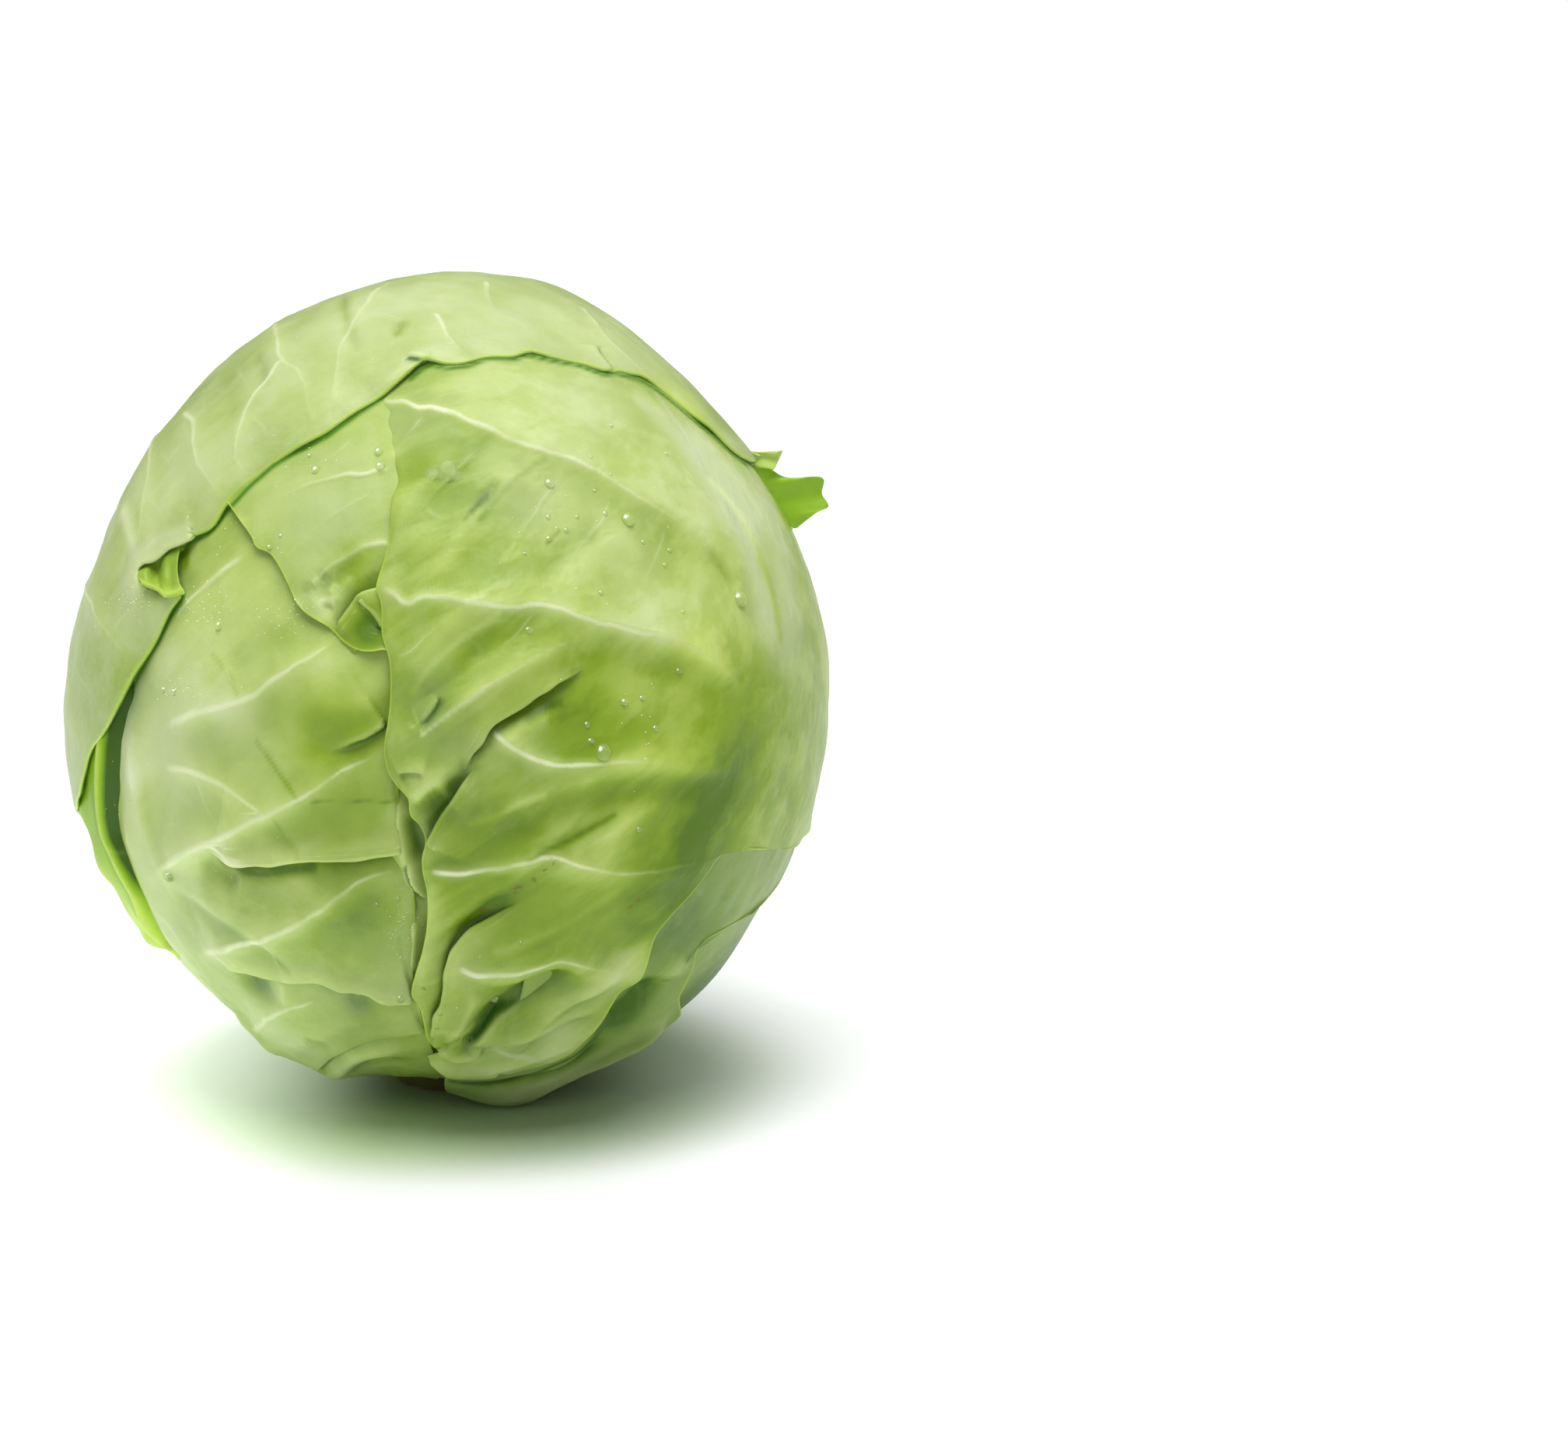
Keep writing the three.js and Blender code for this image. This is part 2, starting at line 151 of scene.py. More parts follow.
LEFT_SEAM = [
    (560, 1385), (547, 1350), (541, 1327), (534, 1300), (529, 1281), (531, 1240), (532, 1189),
    (530, 1162), (522, 1120), (517, 1082), (515, 1064), (510, 1041), (509, 1015), (514, 985),
    (522, 950), (526, 900), (524, 850), (518, 780), (505, 700), (480, 610), (460, 540),
]
MIDDLE_MARGIN = [
    (496, 836), (478, 838), (460, 836), (440, 824), (423, 807), (408, 798), (393, 788), (382, 775),
    (375, 762), (370, 751), (365, 740), (357, 724), (347, 712), (338, 707), (330, 704), (323, 690),
    (309, 669), (295, 650), (285, 635),
]
OUTER_LEFT_MARGIN = [
    (228, 1232), (213, 1220), (187, 1153), (171, 1125), (159, 1099), (150, 1080), (146, 1061),
    (144, 1015), (146, 971), (152, 920), (160, 880),
]
UNDER_MARGIN = [(835, 1331), (850, 1322), (867, 1308), (880, 1285), (896, 1258), (911, 1220)]

RIGHT_VEINS = {
    "V1": [(487, 508), (515, 512), (538, 522), (561, 526), (584, 532), (607, 542), (630, 551),
           (662, 569), (687, 576), (721, 588), (734, 590), (769, 606), (792, 620), (824, 640),
           (861, 663), (897, 684), (930, 716), (952, 753)],
    "V2": [(491, 757), (507, 765), (522, 775), (545, 769), (580, 769), (614, 776), (660, 781),
           (687, 778), (717, 782), (755, 796), (798, 807), (832, 815), (870, 822), (901, 842),
           (931, 864), (966, 903)],
    "V3": [(633, 941), (648, 954), (671, 968), (710, 983), (748, 984), (809, 980), (863, 983),
           (901, 985)],
    "V4": [(553, 1121), (589, 1123), (629, 1116), (679, 1108), (700, 1102), (725, 1106),
           (765, 1118), (798, 1123), (841, 1121), (870, 1113), (908, 1106)],
    "V5": [(590, 1240), (608, 1249), (629, 1252), (666, 1251), (696, 1244), (722, 1237),
           (762, 1246), (812, 1252)],
}
RIGHT_TWIGS = {
    "V6": [(630, 1346), (658, 1358), (684, 1364), (715, 1363)],
    "V7": [(826, 487), (861, 530), (891, 576), (930, 640), (965, 720), (985, 800)],
    "V8": [(923, 560), (948, 611), (969, 663), (989, 725)],
    "T10": [(990, 640), (1003, 682), (1012, 718), (1016, 778)],
    "T1": [(538, 943), (583, 913), (634, 878), (685, 849), (726, 829), (760, 819)],
    "T2": [(497, 847), (528, 837), (556, 811), (591, 780)],
    "T3": [(547, 528), (527, 550), (508, 574)],
    "T4": [(625, 567), (588, 601), (560, 630), (542, 647), (503, 643)],
    "T5": [(542, 647), (561, 663), (597, 671)],
    "T6": [(694, 778), (660, 820), (610, 850)],
    "T7": [(734, 590), (700, 640), (668, 690), (640, 742)],
    "T8": [(792, 620), (775, 665), (745, 705), (716, 757)],
    "T9": [(861, 663), (850, 700), (830, 745), (822, 800)],
}
LEFT_VEINS = {
    "L1": [(203, 940), (230, 926), (258, 914), (285, 908), (312, 901), (335, 888), (357, 872),
           (381, 857), (404, 844), (422, 832), (436, 820)],
    "L2": [(203, 987), (225, 988), (251, 994), (272, 1003), (290, 1013), (337, 1045), (355, 1056)],
    "L3": [(190, 1130), (235, 1099), (258, 1087), (283, 1077), (310, 1064), (337, 1051),
           (382, 1029), (404, 1016), (427, 1000), (450, 986), (475, 975), (494, 962)],
    "L4": [(250, 1232), (275, 1223), (300, 1215), (341, 1207), (364, 1197), (388, 1185),
           (412, 1170), (436, 1153), (455, 1139), (475, 1128), (497, 1122), (522, 1117)],
    "L5": [(328, 1319), (345, 1309), (362, 1301), (385, 1293), (411, 1288)],
    "L8": [(232, 1096), (250, 1089), (268, 1088), (285, 1093), (302, 1100), (335, 1108),
           (370, 1108)],
    "L6": [(322, 706), (300, 724), (270, 748), (240, 775), (222, 800)],
}
LEFT_TWIGS = {
    "K1": [(283, 847), (296, 873), (309, 898)],
    "K4": [(362, 1258), (366, 1295)],
    "K6": [(340, 1207), (360, 1240), (372, 1262)],
    "K7": [(250, 994), (262, 1030), (285, 1070)],
    "K8": [(187, 1145), (198, 1168), (210, 1187), (235, 1217), (255, 1240), (270, 1262),
           (285, 1285)],
}
CAP_VEINS = {
    "C1": [(353, 413), (357, 436), (360, 459), (385, 479), (394, 511), (401, 537), (408, 556)],
    "C2": [(360, 461), (339, 493), (319, 523), (310, 550), (303, 585), (319, 615)],
    "C3": [(236, 532), (248, 543), (248, 569), (257, 599), (275, 626), (287, 644)],
    "C4": [(560, 403), (574, 428), (591, 452)],
    "C5": [(625, 364), (628, 382), (633, 399)],
    "C6": [(748, 395), (768, 420), (786, 441), (825, 474), (863, 510)],
    "C7": [(505, 360), (470, 392), (440, 440), (430, 500), (436, 530)],
    "C8": [(111, 751), (117, 772), (124, 792), (141, 816), (152, 833), (162, 850)],
    "C9": [(205, 560), (190, 610), (180, 660), (176, 700)],
}
CAP_TWIGS = {
    "D1": [(321, 530), (337, 548), (355, 576)],
    "D2": [(142, 816), (154, 797), (172, 782), (192, 778)],
    "D8": [(196, 611), (193, 638), (206, 659), (213, 680), (222, 690)],
    "D9": [(175, 793), (184, 812)],
    "D10": [(205, 578), (222, 600), (236, 618)],
    "D11": [(236, 560), (222, 585), (205, 600), (196, 612)],
    "D12": [(98, 860), (112, 885), (124, 905)],
    "D3": [(160, 670), (190, 640), (225, 600), (248, 569)],
    "D4": [(640, 400), (680, 425), (700, 450)],
    "D5": [(860, 470), (885, 505), (905, 540)],
    "D6": [(470, 400), (520, 410), (560, 403)],
    "D7": [(300, 470), (330, 500), (339, 493)],
}
# ---------------------------------------------------------------- folds and swells, in pixels

RIGHT_FOLDS = [
    # points, lip side (1 left of the line), lip height, reach, dip, its reach, overhang, strength of the
    # painted shade under the lip and highlight on it, the shares of its length over which it starts
    # and ends, painted highlight on the lip's strip
    ([(604, 992), (610, 970), (616, 959), (627, 941), (641, 927), (661, 914), (684, 898),
      (706, 884),
      (735, 872), (765, 860)], 1, 2.0, 9.0, 2.0, 2.5, 1.2, 1.0, (0.2, 0.35)),
    ([(546, 1090), (553, 1074), (560, 1060), (573, 1040), (591, 1015), (602, 994), (609, 980)],
     -1, 1.3, 8.0, 1.7, 2.2, 0.9, 0.9, (0.06, 0.3)),
    ([(678, 1147), (660, 1159), (640, 1171), (622, 1181), (605, 1192), (590, 1207), (580, 1222),
      (575, 1238), (571, 1260), (569, 1280), (562, 1298), (555, 1318), (550, 1345)],
     1, 1.5, 6.0, 1.7, 1.8, 1.0, 1.0, (0.3, 0.2)),
    ([(562, 1351), (575, 1357), (587, 1361), (607, 1359),
      (626, 1350)], 1, 1.8, 4.0, 1.8, 1.8, 1.0, 1.0,
     (0.02, 0.3)),
    ([(676, 1286), (655, 1300), (636, 1314), (618, 1329),
      (602, 1347)], 1, 1.4, 5.0, 2.4, 2.6, 0.5, 1.2,
     (0.5, 0.15)),
    ([(546, 1366), (560, 1378), (575, 1386), (596, 1389), (618, 1388),
      (645, 1381)], 1, 0.6, 4.0, 4.0, 10.0,
     0.9, 1.0, (0.15, 0.1)),
    ([(512, 999), (521, 995), (534, 995), (547, 999)], 1, 0.9, 3.0, 0.8, 1.5, 0.4, 0.5),
    ([(567, 896), (560, 911), (550, 924), (542, 932)], -1, 0.5, 3.0, 0.6, 2.0, 0.3, 0.8),
]
RIGHT_RIDGES = [
    # points, height, reach left of the line, reach right of it, tone: painted light on a crest and
    # painted shade in a groove
    ([(487, 508), (561, 526), (630, 551), (734, 590), (824, 640), (897, 684), (952, 753)],
     1.7, 11, 3.0, 0.12),
    ([(489, 757), (545, 769), (614, 776), (687, 778), (755, 796), (832, 815), (901, 842),
      (966, 903)],
     2.7, 11, 3.2, 0.15),
    ([(600, 920), (654, 948), (710, 983), (809, 980), (901, 985), (970, 990)], 2.6, 8, 3.4, 0.1),
    ([(545, 1125), (629, 1116), (700, 1102), (765, 1118), (841, 1121),
      (930, 1106)], 2.0, 8, 5, 0.1),
    ([(570, 1235), (629, 1252), (666, 1251), (722, 1237), (762, 1246),
      (835, 1252)], 2.2, 7, 3.5, 0.1),
    ([(841, 662), (795, 685), (748, 720), (702, 772)], 0.9, 3.5, 4.5, 0.12),
    ([(700, 585), (660, 620), (632, 645), (586, 700), (551, 761)], 0.9, 3.5, 4, 0.12),
    ([(600, 545), (570, 590), (530, 640), (505, 700)], 0.6, 4, 4, 0.1),
    ([(790, 800), (720, 830), (644, 871), (590, 905), (545, 955)], 1.5, 3.5, 4, 0.15),
    ([(600, 780), (560, 825), (520, 880)], 1.0, 3.5, 4, 0.1),
    ([(540, 935), (566, 896), (602, 850), (644, 800)], -1.0, 3.5, 3.5, -0.15),
    ([(694, 757), (707, 735), (723, 716), (755, 698), (792, 675)], -1.2, 3.5, 3.5, -0.15),
    ([(607, 654), (625, 638), (643, 611)], -0.6, 1.6, 1.6, -0.35),
    ([(902, 698), (918, 714), (930, 730), (952, 764)], -0.8, 2.2, 2.2, -0.2),
    ([(720, 905), (690, 925), (665, 940), (640, 975)], 1.3, 3.5, 2.5, 0.2),
    ([(820, 1005), (740, 1030), (680, 1060), (640, 1090)], -1.3, 6, 5, -0.15),
    ([(870, 1020), (800, 1060), (745, 1085)], 0.9, 5, 5, 0.1),
    ([(512, 900), (520, 955), (535, 1010), (550, 1060)], 1.1, 4, 4, 0.15),
    ([(860, 1130), (820, 1165), (775, 1180), (705, 1225)], 1.1, 5, 5, 0.1),
    ([(835, 1175), (800, 1215), (760, 1232)], -0.9, 5, 5, -0.1),
    ([(745, 1247), (719, 1256), (690, 1273), (660, 1292), (635, 1310), (610, 1332)],
     -3.4, 4.4, 4.4, -0.5),
    ([(800, 1040), (772, 1059), (740, 1076), (707, 1092), (675, 1114)], -0.9, 3, 1.8, -0.2),
    ([(790, 998), (735, 1008), (690, 1020), (640, 1048)], 0.8, 3, 3, 0.2),
    ([(860, 1010), (800, 1022), (750, 1040), (700, 1060)], -0.5, 4, 4, -0.15),
    ([(668, 1147), (640, 1160), (615, 1177), (592, 1198), (576, 1222)], -0.8, 2.4, 1.6, -0.5),
    ([(572, 1026), (582, 1010), (596, 990), (608, 972)], -0.9, 1.6, 1.6, -0.6),
    ([(530, 1033), (544, 1019), (560, 1006), (580, 1001)], 0.7, 1.8, 1.8, 0.2),
    ([(599, 1252), (607, 1279), (593, 1311), (570, 1345)], 2.0, 2.6, 2.4, 0.1),
    ([(800, 1262), (738, 1276), (701, 1303), (672, 1329), (640, 1348)], 2.4, 3.0, 3.6, 0.1),
    ([(775, 1303), (727, 1326), (685, 1347), (655, 1362)], -1.4, 2.6, 2.6, -0.15),
    ([(750, 1340), (700, 1354), (650, 1371), (600, 1383)], 1.2, 3, 2.5, 0.1),
    ([(552, 1107), (557, 1150), (550, 1193), (541, 1247), (538, 1279)], 1.3, 3, 3, 0.2),
    ([(727, 1226), (803, 1172), (850, 1136)], -1.0, 5, 5, -0.1),
    ([(515, 988), (545, 993), (575, 988), (614, 977)], 1.6, 7, 3.5, 0.15),
    ([(545, 1020), (560, 1030), (575, 1020)], -1.0, 4, 4, -0.3),
]
LEFT_FOLDS = [
    ([(268, 1097), (285, 1102), (310, 1109), (345, 1110), (385, 1106), (425, 1105), (460, 1102),
      (480, 1099), (522, 1095)], 1, 1.8, 9.0, 2.6, 3.0, 1.1, 1.6, (0.14, 0.02), 1.0),
    ([(285, 1241), (300, 1242), (320, 1246), (345, 1254), (375, 1260), (410, 1261), (425, 1267),
      (437, 1272), (453, 1273), (472, 1276), (485, 1284), (496, 1288), (510, 1288), (536, 1287)],
     1, 1.4, 8.0, 1.6, 3.2, 0.8, 0.6, (0.1, 0.02), 0.8),
    ([(398, 1377), (408, 1369), (425, 1359), (451, 1348), (472, 1339), (493, 1334), (515, 1332),
      (550, 1327)], 1, 0.7, 5.0, 1.6, 1.8, 0.7, 0.8, (0.1, 0.02)),
    ([(420, 972), (438, 965), (455, 957), (470, 951), (482, 945),
      (500, 932)], 1, 1.5, 6.0, 1.0, 2.2,
     0.5, 1.0, (0.6, 0.02)),
]
RIGHT_STREAKS_AND_SHADE = [
    # points, reach in mm, amount; the deep stripes along valleys and creases are painted shade
    ([(690, 1275), (655, 1298), (632, 1314), (612, 1334), (598, 1350)], 1.6, -0.9),
    ([(892, 560), (925, 610), (952, 670), (972, 730), (985, 800)], 5.0, 0.3),
    ([(985, 640), (1003, 700), (1012, 760)], 8.0, 0.35),
    ([(830, 520), (868, 560), (905, 612), (935, 665)], 3.0, 0.25),
    ([(790, 1048), (772, 1059), (740, 1076), (707, 1092), (680, 1110)], 0.5, -0.6),
    ([(720, 905), (700, 912), (680, 925)], 0.8, -0.5),
    ([(562, 905), (545, 925), (538, 938)], 0.5, -0.5),
    ([(702, 700), (712, 690), (720, 682)], 0.4, -0.5),
    ([(607, 658), (616, 648), (626, 638)], 0.5, -0.8), ([(598, 668), (606, 655)], 0.4, -0.4),
    ([(527, 932), (536, 938), (545, 944)], 0.4, 0.5), ([(532, 915), (538, 930),
      (543, 945)], 0.35, 0.5),
    ([(700, 590), (668, 612), (640, 640), (618, 668)], 0.7, -0.35),
    ([(640, 790), (600, 818), (560, 850), (530, 890)], 0.8, 0.3),
    ([(700, 800), (650, 832), (600, 865), (550, 905)], 1.0, 0.25),
    ([(605, 1060), (640, 1048), (672, 1032), (700, 1024)], 0.8, 0.3),
    ([(840, 1035), (790, 1065), (740, 1092)], 1.2, 0.25),
    ([(640, 1225), (690, 1205), (740, 1180), (790, 1150)], 1.2, 0.25),
    ([(700, 1300), (740, 1280), (790, 1262)], 1.4, 0.3),
]
# Stripes of wax bloom and painted light: points, reach in mm, amount. The pale ones along the upper
# right are partly painted light; below 0 the green is more vivid.
RIGHT_WAX_AND_PAINTED_LIGHT = [
    ([(892, 560), (925, 610), (952, 670), (972, 730), (985, 800)], 6.0, 0.45),
    ([(985, 640), (1003, 700), (1012, 760), (1015, 820)], 8.0, 0.5),
    ([(830, 520), (868, 560), (905, 612), (935, 665)], 3.0, 0.25),
    ([(546, 942), (590, 910), (634, 880), (684, 848), (730, 825)], 0.35, 0.5),
    ([(915, 620), (952, 664), (978, 718), (997, 778), (1003, 820)], 1.2, -0.7),
    ([(636, 1349), (658, 1358), (684, 1364), (709, 1364)], 0.6, 0.6),
    ([(840, 500), (870, 545), (900, 590), (930, 640), (965, 720), (985, 800)], 0.6, 0.45),
    ([(923, 560), (948, 611), (969, 663), (985, 720)], 0.5, 0.5),
    ([(988, 640), (1003, 682), (1012, 718), (1016, 790)], 0.5, 0.5),
]
LEFT_STREAKS_AND_SHADE = [
    # points, reach in mm, amount; the deep stripes under the long pleat's lip and beside the cap's
    # pocket are painted shade, the thin ones the leaf's own green streaks
    ([(330, 955), (340, 968), (352, 985), (368, 1008), (381, 1027)], 0.5, -0.45),
    ([(352, 1055), (366, 1078), (380, 1096), (391, 1107)], 0.5, -0.3),
    ([(273, 842), (285, 855), (296, 870), (305, 893)], 0.5, -0.35),
    ([(402, 1032), (450, 1030), (505, 1031)], 0.3, -0.5),
    ([(335, 1210), (350, 1228), (372, 1252)], 0.5, -0.4),
    ([(290, 1109), (315, 1118), (345, 1121), (375, 1119), (402, 1116)], 1.1, -0.9),
    ([(240, 704), (239, 714), (238, 726)], 1.3, -0.7),
    ([(200, 985), (170, 1000)], 3.0, 0.3),
]
LEFT_RIDGES = [
    ([(160, 1010), (166, 1045), (177, 1085), (190, 1125), (212, 1175), (238, 1222),
      (262, 1255)], 2.2, 6, 6, 0.0),
    ([(203, 940), (258, 914), (312, 901), (357, 872), (404, 844), (440, 820)], 2.0, 9, 3.4, 0.15),
    ([(205, 985), (251, 992), (290, 1012), (340, 1043)], 1.4, 5, 4, 0.15),
    ([(190, 1130), (258, 1087), (337, 1048), (404, 1014), (494, 962)], 2.4, 7, 4, 0.2),
    ([(250, 1240), (300, 1215), (364, 1195), (412, 1170), (475, 1130),
      (524, 1117)], 2.2, 6, 4, 0.15),
    ([(338, 1318), (366, 1298), (411, 1288)], 1.2, 4, 4, 0.1),
    ([(362, 1256), (365, 1275), (366, 1296)], 0.9, 2, 2, 0.15),
    ([(330, 955), (352, 985), (382, 1028)], -0.5, 2.5, 2.5, 0.0),
    ([(340, 1048), (366, 1080), (392, 1108)], -0.4, 2.5, 2.5, 0.0),
    ([(222, 1135), (280, 1167), (315, 1187), (340, 1205), (375, 1232),
      (405, 1252)], 1.0, 6, 2.6, 0.0),
    ([(219, 1146), (278, 1180), (325, 1212), (362, 1242)], -0.6, 2.5, 4, -0.25),
    ([(255, 1108), (280, 1120), (310, 1132)], -1.4, 3, 4, -0.15),
    ([(365, 800), (330, 830), (290, 870)], -0.7, 5, 5, 0.0),
    ([(160, 900), (168, 960), (180, 1040), (205, 1110), (240, 1180)], 1.0, 4, 5, 0.3),
    ([(400, 1382), (430, 1368), (465, 1354), (500, 1347), (545, 1343)], 2.2, 3.0, 3.0, 0.15),
    ([(440, 1388), (480, 1371), (545, 1363)], -0.8, 2, 2, -0.35),
    ([(391, 1331), (410, 1338), (429, 1344)], -0.8, 2, 2, -0.15),
    ([(300, 1290), (330, 1325), (372, 1350)], 1.3, 4, 4, 0.1),
    ([(345, 1335), (400, 1335), (450, 1315), (500, 1310)], 1.0, 4, 4, 0.05),
    ([(340, 905), (343, 930), (362, 948), (400, 955), (440, 958)], -0.3, 3, 3, 0.0),
]
UNDER_RIDGES = [
    ([(770, 1335), (795, 1308), (820, 1285), (845, 1250)], -2.6, 3.5, 3, -0.6),
    ([(740, 1372), (790, 1345), (825, 1325), (850, 1300)], 1.2, 2.5, 2.5, 0.35),
    ([(855, 1262), (868, 1245), (885, 1225)], 0.9, 4, 4, 0.3),
    ([(600, 1408), (636, 1414), (668, 1411), (705, 1396), (745, 1378),
      (790, 1354)], 0.9, 3.5, 3.5, 0.4),
    ([(590, 1394), (636, 1395), (676, 1388), (716, 1375), (750, 1356), (775, 1326)],
     -1.5, 1.8, 1.8, -1.0),
]
MIDDLE_FOLDS = [
    ([(497, 756), (486, 757), (475, 760), (464, 765), (455, 773), (449, 784), (440, 797),
      (428, 808)],
     1, 1.5, 4.0, 2.0, 3.0, 1.0, 0.8, (0.05, 0.15), 0.8),
    ([(457, 773), (468, 783), (477, 792), (484, 802), (492, 816)], 1, 1.0, 2.2, 1.0, 1.2, 0.5),
]
MIDDLE_RIDGES = [
    ([(423, 765), (427, 757), (432, 748)], 0.35, 1, 1, 0.5),
    ([(409, 771), (420, 774), (433, 773)], 0.3, 0.9, 0.9, 0.5),
    ([(401, 753), (406, 748), (411, 742)], 0.3, 1, 1, 0.35),
    ([(414, 778), (421, 779), (428, 778)], -0.3, 0.8, 0.8, -0.5),
    ([(413, 748), (417, 741), (421, 736)], -0.25, 0.8, 0.8, -0.4),
    ([(399, 747), (395, 757), (394, 767)], -0.25, 1, 1, -0.3),
    ([(500, 700), (466, 704), (445, 716), (425, 728), (405, 744), (388, 760)], 1.0, 5, 4, 0.1),
    ([(498, 602), (440, 611), (385, 628), (350, 650)], 0.5, 5, 5, 0.1),
    ([(470, 712), (440, 732), (420, 752), (408, 775)], -0.7, 2.5, 2.5, -0.2),
    ([(455, 740), (440, 762), (425, 785)], 0.7, 2, 2, 0.1),
    ([(470, 735), (480, 750), (500, 752)], -0.5, 3, 3, -0.15),
    ([(400, 790), (412, 775), (428, 768), (436, 778)], 0.5, 1.5, 1.5, 0.1),
    ([(330, 660), (350, 690), (372, 720), (395, 760)], 0.4, 4, 4, 0.0),
]
CAP_FOLDS = [
    ([(248, 692), (235, 699), (220, 707), (205, 713.5), (193, 718.5),
      (183, 724), (177, 732), (175, 740), (178, 748), (186, 752)],
     -1, 1.2, 6.0, 2.4, 3.0, 1.1, 0.6, (0.02, 0.08), 0.9),
    ([(522, 460), (530, 461), (540, 462), (552, 464)], 1, 0.5, 2.0, 1.0, 1.0, 0.3),
    ([(767, 443), (773, 454), (782, 466),
      (792, 476)], -1, 0.9, 3.0, 1.2, 1.0, 0.5, 1.0, (0.1, 0.02)),
]
CAP_POCKET = [  # from under the lip down to the rim and over it: pixel, height over the leaf in mm
    [(180, 722, -0.6), (192, 714, -0.8), (205, 709, -0.8), (217, 704, -0.8), (228, 700, -0.8),
     (236, 697, -0.8)],
    [(178, 732, 0.1), (190, 726, -0.7), (203, 721, -1.6), (214, 717, -0.2), (222, 716, -0.4),
     (230, 708, -0.5)],
    [(177, 739, 0.5), (187, 736, 0.5), (201, 739, -1.6), (211, 740, 0.3), (219, 736, -0.1),
     (227, 728, 0.4)],
    [(179, 745, 1.1), (189, 747, 0.9), (201, 751, -0.3), (210, 757, 0.6), (220, 756, 0.2),
     (229, 747, 0.9)],
    [(181, 748, 1.5), (191, 752, 1.4), (202, 756, 1.2), (212, 765, 1.4), (222, 763, 1.5),
     (236, 760, 1.6)],
    [(180, 751, -0.4), (190, 756, -0.4), (202, 761, -0.4), (212, 769, -0.4), (222, 768, -0.4),
     (235, 764, -0.4)],
]
# tones of the pocket's lines: painted shade, deepest under the lip, and painted light on the rim; rims:
# the share of pale edge green
POCKET_TONES = (-1.6, -1.1, -0.8, -0.5, 0.4, 0.0)
POCKET_RIMS = (0.2, 0.5, 0.55, 0.6, 1.0, 0.5)
CAP_RIDGES = [
    ([(160, 645), (163, 672), (167, 695), (174, 722)], 0.5, 1.6, 1.6, 0.5),
    ([(353, 413), (360, 459), (390, 500), (408, 556)], 0.6, 5, 5, 0.1),
    ([(360, 461), (319, 523), (303, 585), (319, 615)], 0.6, 6, 5, 0.1),
    ([(236, 532), (250, 580), (287, 644)], 0.7, 6, 5, 0.1),
    ([(505, 360), (470, 392), (437, 450), (432, 530)], 0.7, 6, 6, 0.1),
    ([(560, 403), (575, 430), (591, 452)], 0.5, 5, 5, 0.05),
    ([(748, 395), (786, 441), (863, 510)], 0.6, 6, 6, 0.1),
    ([(443, 378), (447, 416), (465, 458)], -0.4, 1.2, 1.2, -0.45),
    ([(522, 405), (515, 418), (506, 435)], -0.4, 1.2, 1.2, -0.45),
    ([(331, 451), (336, 470), (341, 499)], -0.3, 1.2, 1.2, -0.35),
    ([(280, 480), (300, 520), (290, 560)], -0.6, 6, 6, -0.05),
    ([(205, 560), (180, 640), (176, 700)], 0.8, 5, 7, 0.1),
    ([(112, 754), (121, 787), (141, 820), (165, 855)], 0.7, 5, 5, 0.1),
    ([(84, 905), (97, 940), (108, 965)], 0.5, 4, 4, 0.1),
    ([(640, 385), (690, 410), (740, 450)], -0.5, 7, 7, 0.0),
    ([(140, 935), (178, 860), (219, 785), (234, 735), (245, 700), (292, 649), (390, 572)],
     -3.6, 17, 17, 0.0),
    ([(285, 652), (345, 600), (378, 578), (440, 541), (492, 506), (560, 465)], -2.5, 16, 16, 0.0),
    ([(480, 500), (560, 465), (640, 455), (740, 462), (830, 485), (900, 540), (950, 580),
      (1000, 640)],
     -0.95, 14, 14, 0.0),
]

# round swellings, or hollows below 0: pixel, reach and height in mm
LEFT_SWELLS = [
    ((430, 884), 9, 2.6), ((352, 925), 5.5, -0.3), ((478, 930), 4, -0.4), ((525, 1392), 12, -2.2),
    ((358, 1360), 7, 2.2), ((424, 1380), 6, 1.8), ((300, 1170), 12, 0.8), ((333, 1268), 3.8, -1.7),
    ((461, 1290), 3.0, -0.8), ((425, 1270), 2.4, -0.8),
]
MIDDLE_SWELLS = [
    ((412, 748), 3, -0.7), ((420, 772), 1.6, -0.6), ((470, 800), 4, -1.0),
]
OUTER_LEFT_SWELLS = [
    ((101, 1047), 4, 0.8), ((126, 1124), 6, 1.6), ((136, 1150), 5, -1.2),
]
UNDER_SWELLS = [
    ((602, 1404), 4, 0.8), ((668, 1428), 9, 3.1), ((628, 1420), 7, 1.0),
]
RIGHT_BASE_SWELLS = [
    ((600, 1401), 5, -3.0), ((600, 1410), 6, -2.5),
]

# ---------------------------------------------------------------- greens

# From deep to pale, as sRGB hex: where a blade is thick with green or lies in painted shade, its
# usual tone, its lighter stretches, which include painted light, and the palest.
RIGHT_GREENS = ("#587718", "#87a332", "#b5c96a", "#dce8aa")
LEFT_GREENS = ("#5a7a1a", "#8aa536", "#b6ca70", "#dae4b2")
MIDDLE_GREENS = ("#5c801c", "#8ea938", "#b5ca6a", "#dae5aa")
CAP_GREENS = ("#557c1c", "#92ab4a", "#b8ca7c", "#dae4ae")
OUTER_GREENS = ("#3c5c10", "#76a008", "#94bb18", "#b9d450")
FRILL_GREENS = ("#6a9a14", "#8db72a", "#a5c83c", "#c2da70")
FRILL_DEPTH = 6.0  # how far behind the stalk's axis the frill stands
INNER_GREENS = ("#547818", "#8aa63c", "#acc262", "#d0de99")
UNDER_GREENS = ("#4c6e1c", "#7a963c", "#a0b664", "#c8d696")
